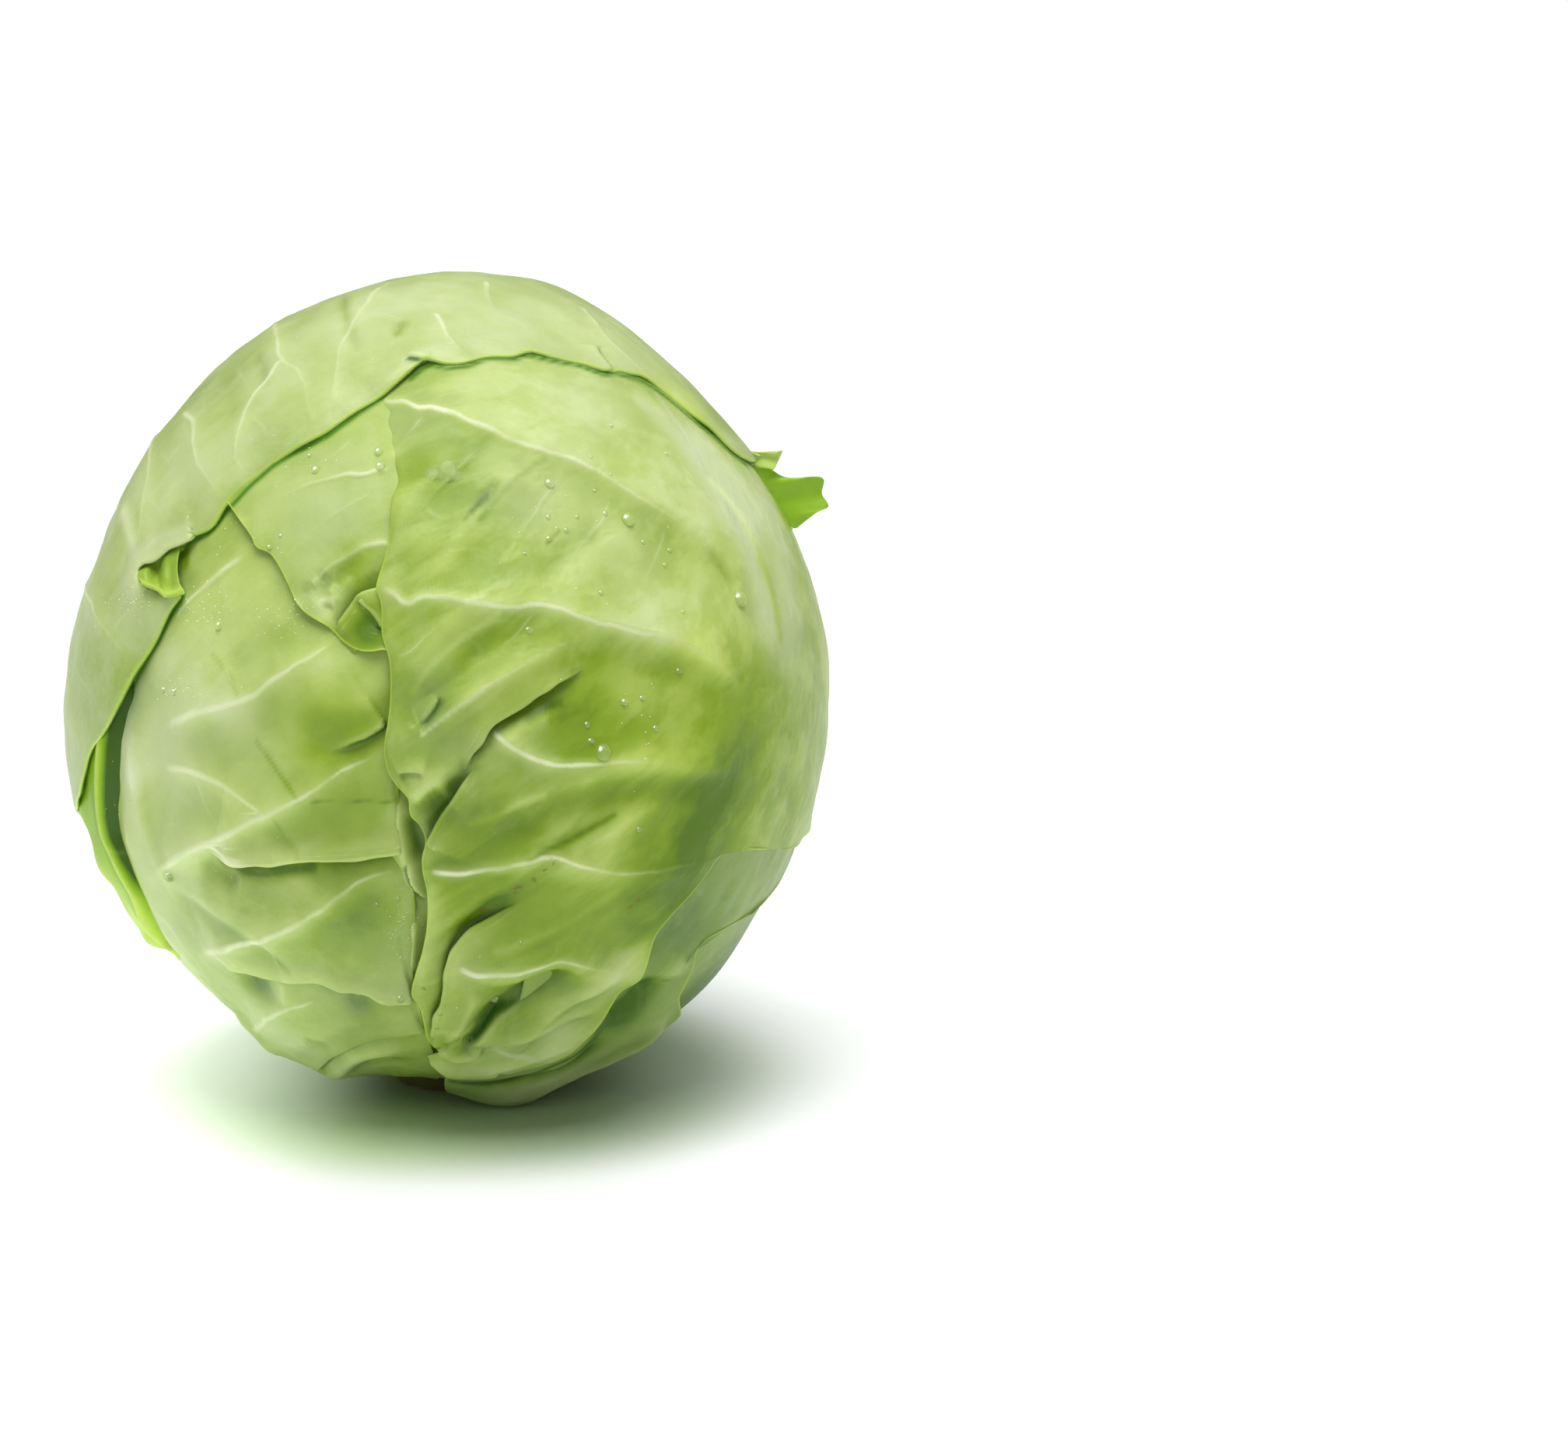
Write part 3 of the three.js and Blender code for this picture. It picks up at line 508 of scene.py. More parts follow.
# Tone patches: pixel, reach in mm, amount. Besides the leaves' own mottling they hold painted light and
# shade: paler where a stretch faces the light, deeper in hollows, beside overlapping edges and low on
# the right, where a shadow falls. The same holds for the spot tables below.
RIGHT_SPOTS = [
    ((690, 500), 18, 0.6), ((860, 580), 16, 0.35), ((580, 570), 12, -0.2), ((620, 640), 12, -0.05),
    ((740, 720), 14, 0.2), ((880, 760), 14, 0.3), ((560, 725), 8, 0.1), ((555, 900), 12, -0.6),
    ((895, 860), 10, 0.3), ((750, 945), 12, -0.6), ((700, 1030), 10, 0.1), ((930, 680), 12, 0.5),
    ((562, 612), 7, -0.2), ((820, 930), 12, 0.1), ((640, 1315), 8, -0.1), ((965, 900), 10, -0.45),
    ((700, 952), 7, -0.4), ((885, 1120), 10, -0.5), ((760, 1160), 9, 0.2), ((600, 860), 9, 0.2),
    ((560, 940), 6, -0.2), ((740, 1300), 9, 0.1), ((900, 1045), 15, -0.8), ((938, 1000), 9, -0.5),
    ((860, 1080), 6, 0.25), ((820, 1225), 6, 0.45), ((800, 1252), 6, 0.35), ((720, 1330), 6, 0.5),
    ((935, 612), 9, 0.8), ((970, 655), 8, 0.7), ((905, 585), 6, 0.3), ((900, 840), 8, -0.35),
    ((640, 1320), 6, -0.3), ((640, 520), 8, -0.12), ((760, 520), 8, 0.15), ((930, 680), 7, -0.12),
    ((700, 640), 9, 0.16), ((600, 700), 9, -0.12), ((820, 760), 9, 0.16), ((700, 950), 6, 0.15),
    ((880, 1120), 8, -0.15), ((760, 1050), 8, 0.35), ((640, 1060), 8, -0.2),
    ((600, 1150), 9, -0.2), ((740, 1290), 9, -0.45), ((610, 1070), 12, -0.4),
    ((700, 1150), 14, -0.35), ((840, 1170), 14, -0.7), ((650, 1205), 12, -0.3),
    ((740, 1300), 10, -0.1), ((940, 800), 16, 0.1), ((565, 1045), 6, -0.3),
]
LEFT_SPOTS = [
    ((195, 960), 12, 0.5), ((220, 1110), 12, 0.3), ((250, 850), 14, 0.3), ((300, 780), 14, 0.25),
    ((372, 930), 6, 0.15), ((396, 919), 5, -0.4), ((432, 940), 5, -0.3), ((470, 931), 6, -0.4),
    ((500, 905), 4, -0.4), ((450, 882), 5, -0.25), ((490, 952), 3, 0.3), ((395, 1142), 6, 0.35),
    ((475, 935), 5, -0.2), ((415, 862), 5, 0.4), ((475, 894), 5, 0.3), ((380, 900), 4, 0.25),
    ((320, 1133), 6, -0.35), ((330, 900), 6, -0.05), ((240, 970), 9, 0.25), ((300, 930), 7, 0.15),
    ((350, 1000), 9, 0.15), ((440, 1060), 8, 0.2), ((240, 1050), 9, 0.2), ((200, 1100), 6, -0.15),
    ((300, 1140), 7, 0.15), ((440, 1170), 9, -0.2), ((300, 1205), 8, -0.4),
    ((450, 1310), 9, -0.25), ((350, 1340), 7, -0.35), ((480, 1370), 7, 0.2),
    ((461, 1288), 3.5, -0.8), ((200, 860), 9, 0.12), ((440, 1060), 12, -0.35),
    ((300, 960), 10, -0.1), ((455, 1180), 12, -0.55), ((420, 1230), 12, 0.05),
    ((365, 1335), 10, 0.6), ((240, 1050), 12, -0.35), ((200, 1110), 10, -0.4),
    ((240, 960), 10, -0.2), ((300, 925), 6, 0.3), ((333, 1268), 5, -0.7), ((240, 1200), 10, -0.3),
    ((470, 900), 4, 0.3), ((140, 760), 8, 0.1),
]
# Wax bloom patches, partly painted light: above 0 a grey white that is partly wax and partly painted
# sheen and highlight; below 0 a more vivid green painted as shade. The same holds for the two tables
# below.
RIGHT_BLOOM_AND_PAINTED_LIGHT = [
    ((720, 1330), 6, 0.4), ((800, 1252), 6, 0.3), ((820, 1225), 6, 0.2), ((935, 612), 9, 0.1),
    ((970, 655), 8, 0.15), ((920, 650), 14, 0.2), ((700, 640), 12, 0.24), ((820, 760), 12, 0.2),
    ((770, 510), 14, 0.26), ((640, 520), 10, 0.08), ((560, 955), 8, 0.15), ((745, 1290), 8, 0.2),
    ((655, 1350), 8, 0.16), ((900, 1010), 18, -0.55), ((880, 1120), 14, -0.55),
    ((860, 1200), 12, -0.4), ((930, 680), 9, -0.15), ((600, 1200), 14, 0.1), ((520, 540), 10, 0.2),
    ((760, 520), 8, 0.12), ((700, 640), 9, 0.1), ((600, 700), 9, -0.12), ((900, 840), 8, -0.45),
    ((700, 950), 7, 0.12), ((880, 1120), 9, -0.25), ((600, 1150), 9, -0.25),
    ((860, 1200), 9, -0.2), ((740, 850), 12, -0.2), ((560, 610), 8, -0.2), ((965, 900), 10, -0.3),
    ((780, 930), 14, -0.15), ((700, 1160), 14, -0.1),
]
LEFT_BLOOM_AND_PAINTED_LIGHT = [
    ((240, 1210), 12, 0.3), ((300, 1210), 12, 0.12), ((340, 1320), 10, 0.25),
    ((470, 1320), 10, 0.15), ((440, 1060), 12, -0.2), ((425, 935), 9, -0.75), ((419, 868), 5, 0.2),
    ((200, 870), 9, 0.3), ((240, 970), 9, 0.15), ((300, 930), 7, 0.2), ((350, 1000), 9, 0.12),
    ((240, 1050), 9, 0.2), ((480, 1370), 7, 0.3), ((450, 1300), 8, -0.1), ((205, 950), 8, 0.3),
    ((215, 990), 8, 0.2), ((215, 1120), 8, 0.3), ((500, 1250), 12, 0.15), ((420, 1290), 10, 0.15),
]
MIDDLE_SPOTS = [
    ((340, 640), 8, 0.12), ((420, 755), 6, 0.3), ((420, 620), 12, 0.1), ((480, 540), 12, 0.2),
    ((425, 760), 6, -0.45), ((468, 805), 6, -0.8), ((455, 720), 7, -0.25), ((340, 660), 10, 0.1),
    ((420, 788), 3, 0.6), ((478, 812), 3, -0.6),
]
MIDDLE_BLOOM_AND_PAINTED_LIGHT = [
    ((400, 640), 9, 0.12), ((340, 640), 8, 0.1), ((470, 810), 5, -0.15), ((400, 640), 14, 0.2),
    ((440, 690), 10, 0.12), ((415, 775), 7, 0.15), ((478, 810), 5, -0.3), ((455, 732), 6, -0.3),
]
CAP_SPOTS = [
    ((560, 400), 26, 0.45), ((330, 520), 22, 0.3), ((190, 660), 20, 0.35), ((780, 430), 20, 0.4),
    ((120, 880), 12, -0.25), ((330, 500), 14, -0.15), ((878, 518), 7, 0.5), ((940, 575), 5, 0.4),
    ((227, 668), 4, -0.35),
]


def unit(a):
    """Vectors divided by their own length."""
    return a / np.maximum(np.linalg.norm(a, axis=-1, keepdims=True), 1e-12)


def smoothstep(x, low, high):
    """0 below low, 1 above high and a smooth cubic between."""
    t = np.clip((x - low) / (high - low), 0, 1)
    return t * t * (3 - 2 * t)


def head_radius(d):
    """The head's radius: a ball that is taller at the crown and fuller below, less a bell-shaped
    hollow round the stalk, and the soft bulges and hollows of BULGES."""
    up = np.maximum(d[..., 2], 0)
    down = np.clip(-d[..., 2], 0, 1)
    hollow = BUTT_HOLLOW * np.exp(-(np.arccos(down) / BUTT_HOLLOW_SPREAD) ** 2)
    radius = WAIST_RADIUS - SIDE_LEAN * d[..., 0] + CROWN_RISE * up**5 + BELLY_DROP * down**4.5 - hollow
    for azimuth, latitude, reach, height in BULGES:
        away = np.degrees(np.arccos(np.clip(d @ at((azimuth, latitude))[0], -1, 1))) / reach
        radius = radius + height * np.exp(-(away**2))
    return radius


def at(*compass):
    """Directions by azimuth (0 the front, 90 the right) and latitude, in degrees."""
    a, e = np.radians(np.array(compass, float)).T
    return np.stack([np.sin(a) * np.cos(e), -np.cos(a) * np.cos(e), np.sin(e)], -1)


def seen(*pixels, rise=0.0):
    """Directions of the spots on the head that the camera sees at the pixels: the sight line is
    met with the head's surface, raised by `rise` mm, and one that misses takes the outline's
    nearest spot."""
    p = np.array(pixels, float)
    across = (p[:, :1] - AXIS_PIXEL[0]) * MM_PER_PIXEL
    upward = (AXIS_PIXEL[1] - p[:, 1:]) * MM_PER_PIXEL
    spot = np.array([0, 0, HEIGHT_OF_MIDDLE]) + across * SIGHT_RIGHT + upward * SIGHT_UP
    ray = unit(spot - EYE)
    passing = EYE - MIDDLE - np.sum((EYE - MIDDLE) * ray, -1, keepdims=True) * ray
    d = unit(passing)
    for _ in range(8):
        back = np.sqrt(np.maximum((head_radius(d) + rise) ** 2 - np.sum(passing**2, -1), 0))
        d = unit(passing - back[:, None] * ray)
    return d


def smooth_line(points, count):
    """Points evenly spaced along a centripetal Catmull-Rom curve through the given ones."""
    p = np.vstack([2 * points[0] - points[1], points, 2 * points[-1] - points[-2]])
    knots = np.cumsum(np.r_[0, np.sqrt(np.linalg.norm(np.diff(p, axis=0), axis=1)) + 1e-9])
    fine = np.linspace(knots[1], knots[-2], count * 6)
    k = np.clip(np.searchsorted(knots, fine, side="right") - 1, 1, len(knots) - 3)
    t, k0, k1, k2, k3 = (x[:, None] for x in (fine, knots[k - 1], knots[k], knots[k + 1], knots[k + 2]))
    p0, p1, p2, p3 = p[k - 1], p[k], p[k + 1], p[k + 2]
    a1 = ((k1 - t) * p0 + (t - k0) * p1) / (k1 - k0)
    a2 = ((k2 - t) * p1 + (t - k1) * p2) / (k2 - k1)
    a3 = ((k3 - t) * p2 + (t - k2) * p3) / (k3 - k2)
    b1 = ((k2 - t) * a1 + (t - k0) * a2) / (k2 - k0)
    b2 = ((k3 - t) * a2 + (t - k1) * a3) / (k3 - k1)
    curve = ((k2 - t) * b1 + (t - k1) * b2) / (k2 - k1)
    gone = np.r_[0, np.cumsum(np.linalg.norm(np.diff(curve, axis=0), axis=1))]
    even = np.linspace(0, gone[-1], count)
    return np.stack([np.interp(even, gone, curve[:, axis]) for axis in range(3)], -1)


def arc(a, b, t):
    """Directions a share t of the way round from a to b, by spherical interpolation."""
    angle = np.arccos(np.clip(np.sum(a * b, -1, keepdims=True), -1, 1)) + 1e-9
    return (np.sin((1 - t) * angle) * a + np.sin(t * angle) * b) / np.sin(angle)


def spread(count, density):
    """count + 1 values from 0 to 1, set closer where the (value, density) pairs say more."""
    fine = np.linspace(0, 1, 2001)
    weight = np.interp(fine, *zip(*density))
    total = np.r_[0, np.cumsum((weight[1:] + weight[:-1]) / 2)]
    return np.interp(np.linspace(0, 1, count + 1), total / total[-1], fine)


def unevenness(p, size, seed):
    """A smooth random height between about -1 and 1, from sine waves in seeded directions whose
    wavelengths are near `size` mm."""
    rng = np.random.default_rng(seed)
    total = np.zeros(p.shape[:-1])
    for _ in range(9):
        way = unit(rng.normal(size=3)) * (2 * math.pi / (size * rng.uniform(0.75, 1.6)))
        total += np.sin(p @ way + rng.uniform(0, 2 * math.pi))
    return total / 4


def closed_sheet(rows, columns):
    """Faces that close two grids of points, outer before inner, where outward is row x column."""
    count = rows * columns
    grid = np.arange(count).reshape(rows, columns)
    faces = np.stack([grid[:-1, :-1], grid[1:, :-1], grid[1:, 1:], grid[:-1, 1:]], -1).reshape(-1, 4)
    rim = np.r_[grid[:-1, 0], grid[-1, :-1], grid[:0:-1, -1], grid[0, :0:-1]]
    walls = np.stack([np.roll(rim, -1), rim, rim + count, np.roll(rim, -1) + count], -1)
    return np.vstack([faces, faces[:, ::-1] + count, walls])


def cubic_weights(count, rows):
    """Weights that carry `count` values to `rows` evenly spaced ones by a Catmull-Rom curve."""
    t = np.linspace(0, count - 1, rows)
    first = np.minimum(t.astype(int), count - 2)
    f = t - first
    basis = (-f + 2 * f**2 - f**3, 2 - 5 * f**2 + 3 * f**3, f + 4 * f**2 - 3 * f**3, f**3 - f**2)
    weights = np.zeros((rows, count))
    for k, share in enumerate(basis):
        np.add.at(weights, (np.arange(rows), np.clip(first + k - 1, 0, count - 1)), share / 2)
    return weights


def blurred(field, cells):
    """The field averaged over a square of cells round each point, twice."""
    for axis in (0, 1, 0, 1):
        ends = [(cells + 1, cells) if k == axis else (0, 0) for k in (0, 1)]
        total = np.cumsum(np.pad(field, ends, mode="edge"), axis)
        low = np.split(total, [field.shape[axis]], axis)[0]
        high = np.split(total, [2 * cells + 1], axis)[1]
        field = (high - low) / (2 * cells + 1)
    return field


class Blade:
    """One leaf as a grid of directions between its left margin, its middle line and its right
    margin, each from the stalk to the tip and as seen from outside. `lift` is the height over the
    leaf's own rise, `slide` a shift along the surface, and `marks` what the material reads."""

    VEIN_REACH = 5.0  # how far from a vein its mark reaches
    LEAN = 0.7  # the least overhang, in mm, that gets a crisp strip
    STEP = 0.7  # half the width of the step from a pleat's dip to its lip
    SET_BACK = 0.7  # how far behind the given line that step lies, in overhangs
    LIP_THICKNESS = 0.35
    MARGIN_POINTS = 1200  # how finely a margin is sampled before its rows are set
    PATH_STEP = 0.4  # mm between the points of a line on the leaf
    LEAST_HEIGHT = 0.3  # of the inner face over the floor
    SMEAR = 0.6  # mm round a point over which a strip reads the leaf under it
    # across a pleat's strip, from its edge: place (in overhangs below 0, in mm above) and height
    STRIP = np.array([(-1, -0.3), (-0.85, -0.08), (-0.45, 0.07), (0, 0.12), (1, 0.13), (2, 0.1),
                      (3, 0.05), (4.2, 0.0), (5.4, -0.05), (6.4, -0.1)])
    CREST_CELLS = 5  # how many cells wide a crest or a valley is told from its surroundings
    # painted light and shade: paler on crests, deeper in valleys
    CREST_LIGHT_AND_SHADE = 0.4  # how much paler the blade is per mm of crest, and deeper per mm of valley

    def __init__(self, rise, margins, rows, columns, across=((0, 1), (1, 1)), upward=((0, 1), (1, 1))):
        self.rise = rise
        v = spread(rows, upward)
        u = spread(columns, across)
        lines = [smooth_line(points, self.MARGIN_POINTS) for points in margins]
        along = np.linspace(0, 1, self.MARGIN_POINTS)
        at_v = [unit(np.stack([np.interp(v, along, line[:, k]) for k in range(3)], -1))
                for line in lines]
        left, middle, right = (line[:, None, :] for line in at_v)
        t = u[None, :, None]
        first = arc(left, middle, np.clip(2 * t, 0, 1))
        second = arc(middle, right, np.clip(2 * t - 1, 0, 1))
        self.d = unit(np.where(t < 0.5, first, second))
        self.v = np.broadcast_to(v[:, None], self.d.shape[:2])
        self.u = np.broadcast_to(u[None, :], self.d.shape[:2])
        self.ground = self.d * head_radius(self.d)[..., None]
        row_step = np.linalg.norm(np.diff(self.ground, axis=1), axis=-1)
        column_step = np.linalg.norm(np.diff(self.ground, axis=0), axis=-1)
        self.from_left = np.pad(np.cumsum(row_step, 1), ((0, 0), (1, 0)))
        self.from_right = self.from_left[:, -1:] - self.from_left
        self.from_base = np.pad(np.cumsum(column_step, 0), ((1, 0), (0, 0)))
        self.from_tip = self.from_base[-1:] - self.from_base
        shape = self.d.shape[:2]
        self.lift = np.zeros(shape)
        self.slide = np.zeros(self.d.shape)
        self.pleats = []
        self.extras = []
        self.vein_fade = 0.5
        names = ("vein_side", "vein_near", "twig_side", "twig_near", "fold_side", "fold_near", "tone",
                 "rim", "bloom_and_painted_light", "fleck")
        self.marks = {name: np.zeros(shape) for name in names}

    def level(self, d):
        """The leaf's height over the head so far at directions, that of the nearest grid point."""
        nearest = (d @ self.d.reshape(-1, 3).T).argmax(-1)
        return self.rise + self.lift.ravel()[nearest]

    def seen(self, *pixels):
        """Directions of the spots that the camera sees at the pixels on this leaf so far."""
        d = seen(*pixels, rise=self.rise)
        for _ in range(2):
            d = seen(*pixels, rise=self.level(d))
        return d

    def near(self, line, reach):
        """Where the grid lies within reach of a line of directions: an index, the signed distance
        in mm (above 0 left of the line), the share of the way along it, and the way leftwards."""
        length = np.sum(np.linalg.norm(np.diff(line, axis=0), axis=1)) * WAIST_RADIUS
        path = unit(smooth_line(line, max(int(length / self.PATH_STEP), 12)))
        path = path * head_radius(path)[:, None]
        ahead = unit(np.gradient(path, axis=0))
        low, high = path.min(0) - reach, path.max(0) + reach
        inside = np.all((self.ground > low) & (self.ground < high), axis=-1)
        index = np.nonzero(inside)
        p, d = self.ground[index], self.d[index]
        nearest = np.zeros(len(p), int)
        for start in range(0, len(p), 4000):
            gap = p[start:start + 4000, None, :] - path[None]
            nearest[start:start + 4000] = np.argmin(np.einsum("ijk,ijk->ij", gap, gap), 1)
        off = p - path[nearest]
        left = unit(np.cross(d, ahead[nearest]))
        side = np.sum(off * left, -1)
        distance = np.linalg.norm(off, axis=-1)
        keep = distance < reach
        index = tuple(i[keep] for i in index)
        signed = np.where(side < 0, -1.0, 1.0) * distance
        return index, signed[keep], (nearest / (len(path) - 1))[keep], left[keep]

    def vein(self, line, height, width, strength=1.0, kind="vein", start=0.05, wriggle=0.0, seed=0):
        """A vein: a rounded ridge whose height falls with the square of the distance, that rises
        over the first `start` of its length and tapers to a third of its size along it, wriggling
        a little from side to side, with a mark from which the material draws its pale line."""
        index, side, along, _ = self.near(line, self.VEIN_REACH)
        place = self.ground[index]
        side = side + wriggle * unevenness(place, 5.0, seed + 900)
        taper = 1 - 0.65 * along
        ends = smoothstep(along, -0.02, start) * (1 - smoothstep(along, 0.88, 1.02))
        knobs = 1 + 0.3 * unevenness(place, 4.5, seed + 901) * (wriggle > 0)
        self.lift[index] += height * taper * ends * knobs * np.exp(-((side / (width * taper)) ** 2))
        faint = 1 - self.vein_fade * smoothstep(along, 0.3, 0.9)
        near = strength * (0.35 + 0.65 * taper) * faint * ends * (1 - np.abs(side) / self.VEIN_REACH)
        better = near > self.marks[kind + "_near"][index]
        chosen = tuple(i[better] for i in index)
        self.marks[kind + "_near"][chosen] = near[better]
        self.marks[kind + "_side"][chosen] = (side / taper)[better]

    def ridge(self, line, height, left_reach, right_reach=None, tone=0.0):
        """A crest (or a groove, below 0) along a line, half rounded and half creased, falling over
        its own reach on either side, and paler or deeper in tone if asked, as painted light on a crest
        and painted shade in a groove."""
        right_reach = right_reach or left_reach
        index, side, along, _ = self.near(line, 2.4 * max(left_reach, right_reach))
        ends = smoothstep(along, -0.02, 0.3) * (1 - smoothstep(along, 0.7, 1.02))
        away = np.abs(side) / np.where(side > 0, left_reach, right_reach)
        creased = np.exp(-1.2 * (np.sqrt(away**2 + 0.05) - 0.22)) * (1 - smoothstep(away, 1.4, 2.4))
        bell = ends * (0.45 * np.exp(-(away**2)) + 0.55 * creased)
        self.lift[index] += height * bell
        self.marks["tone"][index] += tone * bell

    def fold(self, line, lip_side, height, reach, dip, dip_reach, overhang, shade=1.0,
             ends=(0.15, 0.2), pale=0.4):
        """A pleat: the lip side swells up to the line, and the other side dips under the lip. Both
        die away from the line and towards its ends, and the step between them is 1.4 mm wide. The
        lip leans over the line, with a crisp strip of its own where it leans by LEAN or more. The
        mark is the distance from the line, from which the material paints shade under the lip and a
        highlight on it."""
        ground = line * head_radius(line)[:, None]
        left = unit(np.cross(line, np.gradient(ground, axis=0)))
        line = unit(ground + self.SET_BACK * overhang * lip_side * left)
        index, side, along, left = self.near(line, 2.5 * max(reach, dip_reach))
        s = side * lip_side
        alive = smoothstep(along, 0.0, ends[0]) * (1 - smoothstep(along, 1 - ends[1], 1.0))
        step = smoothstep(s, -self.STEP, self.STEP)
        lip = height * np.exp(-np.maximum(s, 0) / reach)
        under = dip * np.exp(np.minimum(s, 0) / dip_reach)
        self.lift[index] += alive * (step * lip - (1 - step) * under)
        if overhang >= self.LEAN:
            self.pleats.append((line, lip_side, overhang, ends, pale))
        else:
            lean = alive * overhang * step * np.exp(-np.maximum(s, 0) / (2.5 * overhang))
            self.slide[index] -= left * (lip_side * lean)[:, None]
        near = shade * alive * np.clip(1 - np.abs(s) / 4.0, 0, 1)
        better = near > self.marks["fold_near"][index]
        chosen = tuple(i[better] for i in index)
        self.marks["fold_near"][chosen] = near[better]
        self.marks["fold_side"][chosen] = s[better]

    def nearby(self, directions):
        """The leaf's lift and marks at directions, as Gaussian means over the grid round them."""
        at_these = (directions * head_radius(directions)[..., None]).reshape(-1, 3)
        low, high = at_these.min(0) - 1.5, at_these.max(0) + 1.5
        inside = np.all((self.ground > low) & (self.ground < high), -1)
        found = np.nonzero(inside)
        place_of = self.ground[found]
        names = ["tone", "bloom_and_painted_light", "vein_near", "vein_side", "twig_near", "twig_side"]
        table = np.stack([self.lift[found]] + [self.marks[name][found] for name in names], -1)
        table[:, 4] *= table[:, 3]
        table[:, 6] *= table[:, 5]
        mean = np.zeros((len(at_these), table.shape[1]))
        for start in range(0, len(at_these), 400):
            gap = at_these[start:start + 400, None] - place_of[None]
            weight = np.exp(-np.einsum("ijk,ijk->ij", gap, gap) / self.SMEAR**2)
            mean[start:start + 400] = weight @ table / (weight.sum(1, keepdims=True) + 1e-9)
        mean[:, 4] /= mean[:, 3] + 1e-9
        mean[:, 6] /= mean[:, 5] + 1e-9
        mean = mean.reshape(*directions.shape[:-1], -1)
        return mean[..., 0], dict(zip(names, np.moveaxis(mean[..., 1:], -1, 0)))

    def strip(self, line, lip_side, overhang, ends, pale):
        """The crisp lip of one pleat: a thin closed strip, set among the leaf's extras, that is
        flush with the leaf behind the lip and leans over the dip in front of it."""
        length = np.sum(np.linalg.norm(np.diff(line, axis=0), axis=1)) * WAIST_RADIUS
        rows = max(int(length / 0.5), 16)
        path = unit(smooth_line(line, rows))
        place_of = path * head_radius(path)[:, None]
        left = unit(np.cross(path, unit(np.gradient(place_of, axis=0))))
        along = np.linspace(0, 1, rows)
        alive = (smoothstep(along, 0, ends[0]) * (1 - smoothstep(along, 1 - ends[1], 1)))[:, None]
        where, height = self.STRIP.T
        wavy = 1 + 0.25 * unevenness(place_of, 6, 77)[:, None]
        across = np.where(where < 0, where * overhang * alive * wavy, where)
        way = lip_side * left[:, None]
        d = unit(place_of[:, None] + way * across[..., None])
        lift, marks = self.nearby(unit(place_of[:, None] + way * np.maximum(across, 0.9)[..., None]))
        radius = head_radius(d) + self.rise + lift + height - 0.3 * (1 - alive)
        top = MIDDLE + d * radius[..., None]
        points = np.vstack([top.reshape(-1, 3), (top - self.LIP_THICKNESS * d).reshape(-1, 3)])
        every = closed_sheet(rows, len(where))[:, ::lip_side]
        # painted highlight along the strip's leaning edge, as strong as `pale` says
        marks["fold_side"] = np.full((rows, len(where)), 0.65)
        marks["fold_near"] = pale * alive * (where < -0.4)
        self.extras.append((points, every, marks))

    def patch(self, lines, tones, rims, rows=44, columns=90):
        """A closed sheet through lines of (pixel across, pixel down, height over the leaf in mm)
        from top to bottom, each with a tone and a share of cut edge, smoothed both ways by
        Catmull-Rom curves. It is set among the leaf's extras."""
        shaped = []
        for line in lines:
            pixels, high = [spot[:2] for spot in line], np.array(line)[:, 2]
            level = self.level(self.seen(*pixels)) + high
            d = seen(*pixels, rise=level)
            shaped.append(smooth_line(d * (head_radius(d) + level)[:, None], columns))
        weights = cubic_weights(len(lines), rows)
        top = np.einsum("rl,lck->rck", weights, np.array(shaped))
        under = top - self.LIP_THICKNESS * unit(top)
        points = np.vstack([(MIDDLE + top).reshape(-1, 3), (MIDDLE + under).reshape(-1, 3)])
        even = np.ones(columns)
        marks = {"tone": np.outer(weights @ tones, even), "rim": np.outer(weights @ rims, even),
                 "bloom_and_painted_light": np.full((rows, columns), -0.5)}
        self.extras.append((points, closed_sheet(rows, columns), marks))

    def swell(self, spot, reach, height):
        """A round swelling (or a hollow, below 0) that falls with the square of the distance."""
        self.lift += height * self.bell(spot, reach)

    def paint(self, spot, reach, amount, mark="tone"):
        """A soft round patch that is paler (above 0) or deeper in colour."""
        self.marks[mark] += amount * self.bell(spot, reach)

    def stroke(self, line, reach, amount, mark="tone"):
        """A soft stripe along a line that is paler or deeper, or carries another mark."""
        index, side, _, _ = self.near(line, 2.2 * reach)
        self.marks[mark][index] += amount * np.exp(-((side / reach) ** 2))

    def bell(self, spot, reach):
        """1 at the spot, falling with the square of the distance over `reach` mm."""
        apart = np.linalg.norm(self.d - spot, axis=-1) * WAIST_RADIUS
        return np.exp(-((apart / reach) ** 2))

    def build(self, name, thickness, material):
        """Fills a closed mesh. The outer face lies at head radius + rise + lift, shifted by
        slide. The inner face has every second row and column, one thickness further in than the
        lowest lift around each of its points, and a rim joins the two."""
